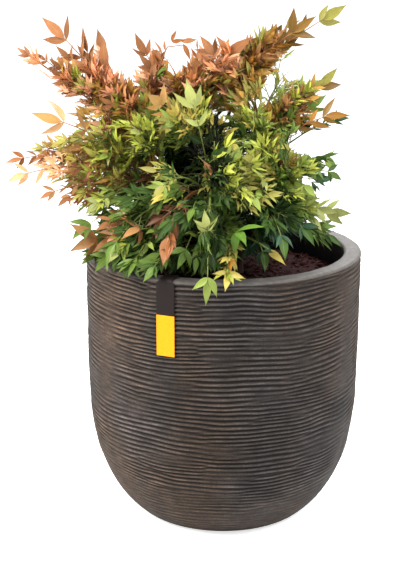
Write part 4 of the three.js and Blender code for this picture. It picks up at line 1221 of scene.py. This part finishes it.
def grow_fine_twig(mass, tint, line, tilt, leaf, lean, *keys):
    """Pairs of leaflets a step apart, and one at the end."""
    pairs = max(1, round(line.length / (leaf * PAIR_STEP)))
    for pair in range(pairs):
        here = spray_frame(line, (pair + 0.7) / (pairs + 0.35), tilt)
        for hand in (-1, 1):
            angle = LEAF_ANGLE + stray(WANDER, mass, *keys, pair, hand, 3)
            away = heading(here, angle, hand, stray(LEAF_LIFT, mass, *keys, pair, hand, 4))
            add_leaflet(mass, tint, here[0], away, here[3], leaf * PAIR_SIZE, lean, *keys, pair, hand)
    end = spray_frame(line, 0.98, tilt)
    add_leaflet(mass, tint, end[0], end[1], end[3], leaf, lean, *keys, 9)


def grow_side_twig(mass, tint, kind, start, direction, reach, leaf, lean, plain, *keys):
    """A side twig with fine twigs in pairs at its nodes, then a pair of leaflets and one at its tip.

    A plain one bears single leaflets, a little larger, in place of the fine twigs: a pair for each leaflet's
    length of twig.
    """
    length = max(reach - leaf, leaf / 3)
    end = start + (direction + 0.3 * lean - TWIG_DROOP * UP) * length
    line = add_twig(mass, kind, start, end, -0.04 * length, *SIDE_TWIG_RADII)
    if line is None:
        return
    size = leaf * (PLAIN_SIZE if plain else 1)
    tilt = stray(SPRAY_TILT, mass, *keys, 21)
    nodes = FINE_NODES[:max(1, round(length / leaf))] if plain else FINE_NODES
    for node, (at, share) in enumerate(nodes):
        here = spray_frame(line, at + stray(0.05, mass, *keys, node, 8), tilt)
        for hand in (-1, 1):
            angle = LEAF_ANGLE + 8 + stray(WANDER, mass, *keys, node, hand, 3)
            away = heading(here, angle, hand, stray(LEAF_LIFT, mass, *keys, node, hand, 4))
            fine = length * share * (1 + stray(0.2, mass, *keys, node, hand, 11))
            finer = None
            if fine > leaf * 0.3 and not plain:
                finer = add_twig(mass, kind, here[0], here[0] + away * fine, 0, *FINE_TWIG_RADII)
            if finer is None:
                add_leaflet(mass, tint, here[0], away, here[3], size, lean, *keys, node, hand)
            else:
                grow_fine_twig(mass, tint, finer, tilt, leaf, lean, *keys, node, hand)
    tip = spray_frame(line, 0.96, tilt)
    for hand in (-1, 1):
        away = heading(tip, LEAF_ANGLE, hand, stray(LEAF_LIFT, mass, *keys, hand, 12))
        add_leaflet(mass, tint, tip[0], away, tip[3], size, lean, *keys, hand, 13)
    add_leaflet(mass, tint, tip[0], tip[1], tip[3], size * TIP_SIZE, lean, *keys, 14)


# %% [markdown]
# ## Tints
# A nandina's colour belongs to the spray: all leaflets of one side twig turn together. Each mass has a
# palette of four rows: for the large leaflets at its tip, for its other growth there, for its middle and
# for the part near the cane, where growth is oldest and greenest. A spray takes its tint from the row of
# its place on the stem, by chance. Each tint is one plain base colour, and all leaflets of a tint are
# joined into one piece. A colour attribute could give every leaflet a colour of its own, but a list of
# named tints is easier to read, to balance and to change.

# %% Palettes
TINTS = {
    "salmon": "#ecb890", "terracotta": "#dc9e6c", "clay": "#a8724a", "russet": "#9c6034", "umber": "#68402a",
    "apricot": "#deb080", "honey": "#cca262", "caramel": "#bd8c58", "ochre": "#bd9448", "amber": "#ae7c34",
    "bronze": "#8c682e", "straw": "#cdbc60", "lime": "#b8c04e", "sage": "#aab066", "moss": "#a6a04e",
    "vivid": "#6a9238", "meadow": "#94a64e", "leaf": "#678236", "fern": "#45602a", "teal": "#36563c",
    # the last tint, nearly black, is painted shade for the depths of the crown
    "pine": "#253a18", "painted_shade": "#0d150a",
}
PALETTES = {
    # name: (large leaflets at the tip, tip, middle, near the cane)
    "copper": (("clay",), ("salmon", "terracotta", "honey"), ("salmon", "terracotta", "salmon", "ochre"),
               ("ochre", "terracotta", "lime", "meadow", "moss")),
    "rust": (("russet", "clay"), ("terracotta", "russet"), ("russet", "ochre", "moss", "terracotta"),
             ("moss", "leaf", "umber")),
    "vivid": (("vivid",), ("vivid", "meadow"), ("leaf", "vivid"), ("fern", "leaf")),
    "peach": (("apricot", "honey"), ("apricot", "honey"), ("honey", "straw", "lime", "apricot"),
              ("lime", "meadow", "moss")),
    "blush": (("caramel", "clay"), ("apricot", "salmon"), ("salmon", "leaf", "moss"),
              ("fern", "leaf", "pine")),
    "amber": (("caramel", "clay", "amber"), ("amber", "honey", "terracotta"),
              ("ochre", "russet", "lime", "moss"), ("moss", "meadow", "lime", "leaf")),
    "gold": (("amber", "bronze"), ("amber", "honey", "bronze"), ("ochre", "bronze", "lime", "moss"),
             ("moss", "meadow", "lime", "leaf")),
    "bronze": (("moss", "bronze"), ("caramel", "honey", "moss"), ("caramel", "moss", "amber", "ochre"),
               ("moss", "caramel", "ochre")),
    "olive": (("moss", "ochre"), ("straw", "lime", "honey"), ("moss", "lime", "ochre", "meadow"),
              ("moss", "meadow", "leaf")),
    "straw": (("straw",), ("straw", "amber", "lime"), ("straw", "lime", "moss"), ("moss", "leaf", "fern")),
    "lime": (("moss", "meadow"), ("lime", "meadow"), ("lime", "meadow", "straw", "moss"),
             ("meadow", "leaf", "fern", "lime")),
    "sage": (("sage",), ("lime", "sage"), ("lime", "meadow", "sage"), ("meadow", "leaf", "moss")),
    "fresh": (("meadow", "sage"), ("lime", "meadow"), ("meadow", "leaf", "lime"), ("leaf", "fern", "meadow")),
    "autumn": (("clay",), ("russet", "salmon", "fern"), ("umber", "fern", "leaf"), ("fern", "pine", "leaf")),
    "green": (("leaf", "meadow"), ("meadow", "leaf"), ("leaf", "fern", "meadow", "meadow"),
              ("fern", "leaf", "pine")),
    "dusk": (("teal", "fern"), ("teal", "leaf"), ("teal", "fern", "pine"), ("pine", "teal")),
    "deep": (("fern", "leaf"), ("leaf", "fern"), ("fern", "pine", "leaf"), ("pine", "leaf", "fern")),
    "falling": (("meadow",), ("lime", "meadow"), ("fern", "leaf", "pine"), ("pine", "fern", "leaf")),
}
RED_TWIGS = ("copper", "rust", "peach", "amber", "gold", "bronze", "blush", "autumn")
# Painted shade: most sprays near the plant's middle and round its hollow take a dark tint.
SHADOW = 62  # sprays this near the plant's middle turn dark,
SHADOW_TOP = 480  # up to this height
MIDDLE_ACROSS = -14  # x of that middle
HOLLOWS = ((198, 166, 30, 36),)  # where the crown opens: across, down, half width and height in pixels
PAINTED_SHADE_CHANCE = 0.85  # of a painted-shade tint in either place
PAINTED_SHADE_TINTS = ("pine", "painted_shade", "painted_shade", "fern")


def deal(palette, share, place, *keys):
    """The tint of a spray at a share of its stem. In the crown's middle and hollow most take painted shade.
    """
    inside = math.hypot(place[0] - MIDDLE_ACROSS, place[1]) < SHADOW and place[2] < SHADOW_TOP
    if (inside or within(HOLLOWS, place[None])) and chance(*keys, 33) < PAINTED_SHADE_CHANCE:
        return PAINTED_SHADE_TINTS[int(chance(*keys, 34) * len(PAINTED_SHADE_TINTS))]
    where = share + stray(0.14, *keys, 31)
    row = PALETTES[palette][0 if share > 0.86 else 1 if where > 0.7 else 2 if where > 0.36 else 3]
    return row[int(chance(*keys, 32) * len(row))]


# %% Grow the masses
def grow_end(number, seed, line, tip, palette, large, pairs, lean):
    """Pairs of large leaflets along a line, and one from its end to the tip."""
    here = spray_frame(line, 0.98, 0, UPRIGHT)
    span = np.array(tip, float) - here[0]
    tint = deal(palette, 1, here[0], seed, 99)
    add_leaflet(number, tint, here[0], unit(span), here[3], float(np.linalg.norm(span)), 0 * UP, seed, 0,
                slim=WIDE, roll=20, varies=0)
    for pair in range(pairs):
        here = spray_frame(line, max(0.94 - pair / pairs, 0.02), stray(16, seed, pair, 43), UPRIGHT)
        tint = deal(palette, 1, here[0], seed, pair)
        for hand in (-1, 1):
            angle = END_ANGLE + stray(13, seed, pair, hand, 41)
            away = heading(here, angle, hand, stray(0.25, seed, pair, hand, 42))
            size = large * (END_SIZE - SHORTER * pair)
            add_leaflet(number, tint, here[0], away, here[3], size, 0.3 * lean, seed, 70 + pair, hand,
                        slim=WIDE - 0.04, roll=36, varies=0.18)


def grow_mass(number, seed, cane, at, tip, arch, spread, bare, palette, leaf, large, pairs, rise):
    """Stem, pairs of side twigs, and pairs of large leaflets near the tip.

    The stem's end bears the large leaflets, pairs of them and one at the tip; the rest bears the side
    twigs, which reach into the end where its leaflets are small. With no spread there are none.
    """
    whole = mass_line(cane, at, tip, arch)
    lean = LEAN * unit((whole.points[-1] - whole.points[0]) * LEVEL_OUT) + 0.4 * rise * UP
    kind = "red" if palette in RED_TWIGS else "green"
    start = bare if bare else 0.01
    last = 1 - large / whole.length
    first = max(last - END_STEP * large * pairs / whole.length, start + 0.12)
    foot = bare if number == seed and bare else 0.01
    twigs.append((number, kind, whole.part(foot, first).at(np.linspace(0, 1, 12)), *STEM_RADII[:2]))
    ends = whole.part(first, last)
    if pairs:
        twigs.append((number, kind, ends.at(np.linspace(0, 1, 4)), *STEM_RADII[1:]))
    grow_end(number, seed, ends, tip, palette, large, pairs, lean)
    stem = whole.part(start, last)
    free = 0.0 if large > LONG_ENDS else 0.7 if pairs < 3 else 0.35
    for node, (share, twig, roll) in enumerate(STEM_NODES if spread else ()):
        if start + share * (last - start) > first + free * (last - first):
            continue
        for side in (-1, 1):
            place = min(share + stray(NODE_SHIFT, seed, node, side), 0.99)
            here = stem.frame(place, roll + stray(ROLL_WANDER, seed, node))
            angle = TWIG_ANGLE + stray(WANDER, seed, node, side, 0, 1)
            away = heading(here, angle, side, stray(TWIG_LIFT, seed, node, side, 0, 2))
            tint = deal(palette, 0.85 * place, here[0] + away * 0.5 * spread, seed, node, side)
            grow_side_twig(number, tint, kind, here[0], away, spread * twig, leaf, lean, share > PLAIN_FROM,
                           seed, node, side)


def nearest_mass(tip):
    """The number of the mass whose tip is nearest."""
    tips = np.array([values[2] for values in MASSES.values()], float)
    return int(np.argmin(np.linalg.norm(tips - np.array(tip), axis=1))) + 1


for number, values in enumerate(MASSES.values(), start=1):
    grow_mass(number, number, *values)
print("leaflets in the masses:", len(leaflets))
for number, values in enumerate(BETWEEN.values(), start=101):
    grow_mass(nearest_mass(values[2]), number, *values)
print("leaflets:", len(leaflets), "twigs:", len(twigs))

# %% [markdown]
# ## Shoots inside
# Each cane also carries short leafy twigs up its own length. They sit deep in the crown, in its shade,
# and their dark green tints carry painted shade, less of it near its top. They leave the cane at a turn
# of 137.5 degrees each, the turn that most plants use, so no two stand over each other.

# %% Grow the shoots inside
SHOOTS = 9
GOLDEN_TURN = 137.5
SHOOT_REACH = (44, 78)
SHOOT_LEAF = 18
# dark tints that paint the shade deep in the crown
SHOOT_TINTS = ("pine", "fern", "painted_shade")
LIGHT_FROM = 440  # shoots above this height take less painted shade and are lighter
LIGHT_TINTS = ("leaf", "fern", "moss")


def grow_shoots(number, name):
    """Side twigs from a cane, evenly up its height and turned by the golden turn."""
    line = Line(cane_line(name))
    mass = nearest_mass(CANES[name][1])
    for shoot in range(SHOOTS):
        share = 0.2 + 0.75 * shoot / (SHOOTS - 1)
        point = line.at(share)
        turn = math.radians(GOLDEN_TURN * shoot + 50 * number)
        away = unit(np.array([math.cos(turn), math.sin(turn), 0.25]))
        reach = SHOOT_REACH[0] + (SHOOT_REACH[1] - SHOOT_REACH[0]) * chance(number, shoot, 51)
        tint = SHOOT_TINTS[int(chance(number, shoot, 52) * len(SHOOT_TINTS))]
        if point[2] > LIGHT_FROM:
            tint = LIGHT_TINTS[int(chance(number, shoot, 53) * len(LIGHT_TINTS))]
        grow_side_twig(mass, tint, "green", point, away, reach, SHOOT_LEAF, 0.2 * UP, False, 200 + number,
                       shoot)


for number, name in enumerate(CANES):
    grow_shoots(number, name)
print("leaflets with the shoots:", len(leaflets), "twigs:", len(twigs))

# %% [markdown]
# ## Leaflet blades
# A leaflet is a slim closed blade: pointed, widest a little below its middle, folded along the midrib
# and bent over in an arc. Its section has four corners: the two margins, the midrib above and the keel
# below. Three sections make a small blade of 24 triangles and six make a large one of 48. All blades of
# a tint and size are worked out together as one array of (leaflets, sections, corners). A flat card with
# a picture of a leaf would be lighter, but it has no fold to catch the light and vanishes edge-on.

# %% Blade shape
SECTIONS = {
    # sections of a small and of a large leaflet
    False: np.array([0.16, 0.4, 0.72]),
    True: np.array([0.09, 0.22, 0.38, 0.56, 0.74, 0.89]),
}
LARGE = 20  # leaflets longer than this are large
ROUND_BASE = 1.05
SHARP_TIP = 1.65
FOLD = 0.3  # how far the margins stand above the midrib, as a share of half the width
FOLD_VARIES = 0.12
BENDS = (0.1, 0.55, 0.95)  # of the arc, in radians: the least, the most if large and the most if small
TWIST_VARIES = 0.3
SICKLE_VARIES = 0.05
BLADE_THICKNESS = 0.55


def blade_width(share):
    """share^1.05 (1 - share)^1.65, scaled to 1 at its widest."""
    widest = ROUND_BASE / (ROUND_BASE + SHARP_TIP)
    peak = widest**ROUND_BASE * (1 - widest) ** SHARP_TIP
    return share**ROUND_BASE * (1 - share) ** SHARP_TIP / peak


def blade_points(rows, cuts):
    """Corners of every blade, with its sections at the shares in cuts.

    The midrib is an arc: base + direction L sin(bs)/b - over L (1 - cos(bs))/b, drawn sideways by a
    sickle L s^2. Each section is turned by a twist about it, its margins stand width/2 out and are
    lifted by the fold.
    """
    base = np.array([row[2] for row in rows])
    direction = np.array([row[3] for row in rows])
    over = unit(np.array([row[4] for row in rows]))
    length = np.array([row[5] for row in rows])
    slim = np.array([row[6] for row in rows])
    across = unit(np.cross(over, direction))
    over = np.cross(direction, across)
    rng = np.random.default_rng(len(rows))
    bend = rng.uniform(BENDS[0], np.where(length > LARGE, *BENDS[1:]))
    twist = rng.normal(0, TWIST_VARIES, len(rows))
    sickle = rng.normal(0, SICKLE_VARIES, len(rows))
    fold = FOLD + rng.normal(0, FOLD_VARIES, len(rows))
    share = np.concatenate([[0], cuts, [1]])
    turn = bend[:, None] * share
    forward = (length / bend)[:, None] * np.sin(turn)
    down = (length / bend)[:, None] * (1 - np.cos(turn))
    swing = (length * sickle)[:, None] * share**2
    middle = (base[:, None] + direction[:, None] * forward[..., None] - over[:, None] * down[..., None]
              + across[:, None] * swing[..., None])
    lifted = over[:, None] * np.cos(turn)[..., None] + direction[:, None] * np.sin(turn)[..., None]
    roll = twist[:, None, None] * share[None, :, None]
    wide = across[:, None] * np.cos(roll) + lifted * np.sin(roll)
    lifted = lifted * np.cos(roll) - across[:, None] * np.sin(roll)
    half = (0.5 * slim * length)[:, None, None] * blade_width(share)[None, :, None]
    thick = BLADE_THICKNESS * (0.35 + 0.65 * blade_width(share))[None, :, None] / 2
    rise = lifted * half * fold[:, None, None]
    corners = [middle - wide * half + rise, middle + lifted * thick * 0.7, middle + wide * half + rise,
               middle - lifted * thick]
    sections = np.stack(corners, 2)[:, 1:-1]
    return middle[:, 0], sections, middle[:, -1]


def blade_mesh(rows, cuts):
    """Base point, sections of four corners, tip point; quads between sections, fans at both ends."""
    first, sections, last = blade_points(rows, cuts)
    blades, steps = sections.shape[:2]
    body = sections.reshape(blades, steps * 4, 3)
    points = np.concatenate([first[:, None], body, last[:, None]], 1)
    size = steps * 4 + 2
    offset = np.arange(blades)[:, None, None] * size
    quads = (offset + 1 + grid_faces(steps, 4, closed=True)[None]).reshape(-1, 4)
    root = (offset + fan_faces(0, np.arange(1, 5), flip=True)[None]).reshape(-1, 3)
    tip = (offset + fan_faces(size - 1, np.arange(size - 5, size - 1))[None]).reshape(-1, 3)
    vein = np.tile(np.concatenate([[1], np.tile([0.0, 1.0, 0.0, 1.0], steps), [1]]), blades)
    tone = np.repeat(np.random.default_rng(blades + 1).uniform(-1, 1, blades), size)
    along = np.tile(np.concatenate([[0], np.repeat(cuts, 4), [1]]), blades)
    return points.reshape(-1, 3), [quads, root, tip], {"vein": vein, "tone": tone, "along": along}


def blades_of_both_sizes(rows):
    """The meshes of the small and the large leaflets, one after the other."""
    points, faces, marks, start = [], [], [], 0
    for large, cuts in SECTIONS.items():
        some = [row for row in rows if (row[5] > LARGE) == large]
        if not some:
            continue
        more, groups, values = blade_mesh(some, cuts)
        points.append(more)
        faces += [group + start for group in groups]
        marks.append(values)
        start += len(more)
    joined = {label: np.concatenate([values[label] for values in marks]) for label in marks[0]}
    return np.concatenate(points), faces, joined


# %% [markdown]
# ## Leaflet finish
# The blades are thin, smooth and a little waxy: light from behind comes through them, so each material
# mixes a glossy surface with a translucent one. Subsurface scattering does this for thick things such
# as fruit, but is slow, and a leaflet is thin enough to do without. The midrib is a fine paler line,
# which the blades carry as an attribute, and each leaflet is a touch lighter or darker than its
# neighbours.

# %% Leaflet material
TRANSLUCENCE = 0.3
LEAF_GLOSS = 0.26
SHADE_GLOSS = 0.12
SHADE_TINTS = ("fern", "pine", "painted_shade")


def leaf_material(tint, code):
    """Base colour, varied by leaflet, with a pale midrib and a dark tip; glossy, mixed with translucence."""
    material, tree, shader = new_material(f"leaflet {tint}")
    plain = linear(code)
    pale = tuple(0.6 * channel + 0.4 * light for channel, light in zip(plain, linear("#e8dca0")))
    dark = tuple(0.34 * channel + 0.04 * shade for channel, shade in zip(plain, linear("#5f6f3c")))
    rib = remap(tree, attribute(tree, "vein"), 0.9, 1.0, 0, 0.35)
    tone = remap(tree, attribute(tree, "tone"), -1, 1, 0.74, 1.22)
    tip = remap(tree, attribute(tree, "along"), 0.72, 1.0, 0, 0.6)
    colour = blend(tree, tip, blend(tree, rib, plain, pale), dark)
    colour = brightened(tree, mottled(tree, colour, 90, 0.22), tone)
    tree.links.new(colour, shader.inputs["Base Color"])
    shader.inputs["Roughness"].default_value = 0.4
    shader.inputs["Specular IOR Level"].default_value = SHADE_GLOSS if tint in SHADE_TINTS else LEAF_GLOSS
    tree.links.new(relief(tree, 700, 0.25, 0.25), shader.inputs["Normal"])
    through = add_node(tree, "ShaderNodeBsdfTranslucent", Color=colour)
    mixed = add_node(tree, "ShaderNodeMixShader", i0=TRANSLUCENCE, i1=shader.outputs[0],
                     i2=through.outputs[0])
    tree.links.new(mixed.outputs[0], tree.nodes["Material Output"].inputs["Surface"])
    return material


# %% Join the leaflets by tint
NAMES = list(MASSES)


def nodes_of(rows):
    """The frame's foliage nodes that a list of rows grows in."""
    return [f"foliage_{NAMES[number - 1]}" for number in sorted({row[0] for row in rows})]


for tint, code in TINTS.items():
    rows = [row for row in leaflets if row[1] == tint]
    if not rows:
        continue
    points, faces, marks = blades_of_both_sizes(rows)
    add_piece(f"leaflets_{tint}", points, faces, [leaf_material(tint, code)], "foliage", nodes_of(rows),
              marks, sharp=75)

# %% [markdown]
# ## Twigs
# The stems and side twigs are green where the growth is green, and red-brown under the copper sprays.
# Each is a slim tapering tube; the stems have six sides and the finer ones four. They could be thin
# strips, but close to the camera a strip turns into a line when its edge faces it.

# %% Join the twigs
TWIG_COLOURS = {"red": "#8a5836", "green": "#6a7434"}


def twig_meshes(rows):
    """Points and faces of all twigs, one batch for each number of steps."""
    points, faces, start = [], [], 0
    for steps in sorted({len(row[2]) for row in rows}):
        batch = [row for row in rows if len(row[2]) == steps]
        paths = np.array([row[2] for row in batch])
        share = np.linspace(0, 1, steps)
        first, last = np.array([row[3] for row in batch]), np.array([row[4] for row in batch])
        radii = first[:, None] + (last - first)[:, None] * share
        more, groups = tube_mesh(paths, radii, 6 if steps > 4 else 4)
        points.append(more)
        faces += [group + start for group in groups]
        start += len(more)
    return np.concatenate(points), faces


for kind, code in TWIG_COLOURS.items():
    rows = [row for row in twigs if row[1] == kind]
    twig_bark = bark_material(f"twig {kind}", code, 0.25, 0.5)
    add_piece(f"twigs_{kind}", *twig_meshes(rows), [twig_bark], "foliage", nodes_of(rows))

# %% [markdown]
# ## Floor
# A pale, matt floor runs far behind the plant, so the pot stands in its own soft shadow. A curved
# studio backdrop would hide the horizon too, but it would turn dark in the views from behind.

# %% Floor
FLOOR_REACH = 40000
FLOOR_GLOW = 0.62


def floor_material():
    """Nearly white and matt. It glows a little where it is seen, but throws no light back."""
    material, tree, shader = new_material("pale floor")
    tree.links.new(mottled(tree, (0.9, 0.9, 0.9, 1), 3, 0.01), shader.inputs["Base Color"])
    shader.inputs["Roughness"].default_value = 0.9
    shader.inputs["Specular IOR Level"].default_value = 0.0
    shader.inputs["Emission Color"].default_value = (1, 1, 1, 1)
    seen = add_node(tree, "ShaderNodeLightPath").outputs["Is Camera Ray"]
    tree.links.new(calculated(tree, "MULTIPLY", seen, FLOOR_GLOW), shader.inputs["Emission Strength"])
    return material


floor_mesh = bpy.data.meshes.new("floor")
reach = FLOOR_REACH * MM
floor_mesh.from_pydata([(-reach, -reach, -MM / 2), (reach, -reach, -MM / 2), (reach, reach, -MM / 2),
                        (-reach, reach, -MM / 2)], [], [(0, 1, 2, 3)])
floor_mesh.materials.append(floor_material())
floor = bpy.data.objects.new("floor", floor_mesh)
bpy.context.collection.objects.link(floor)
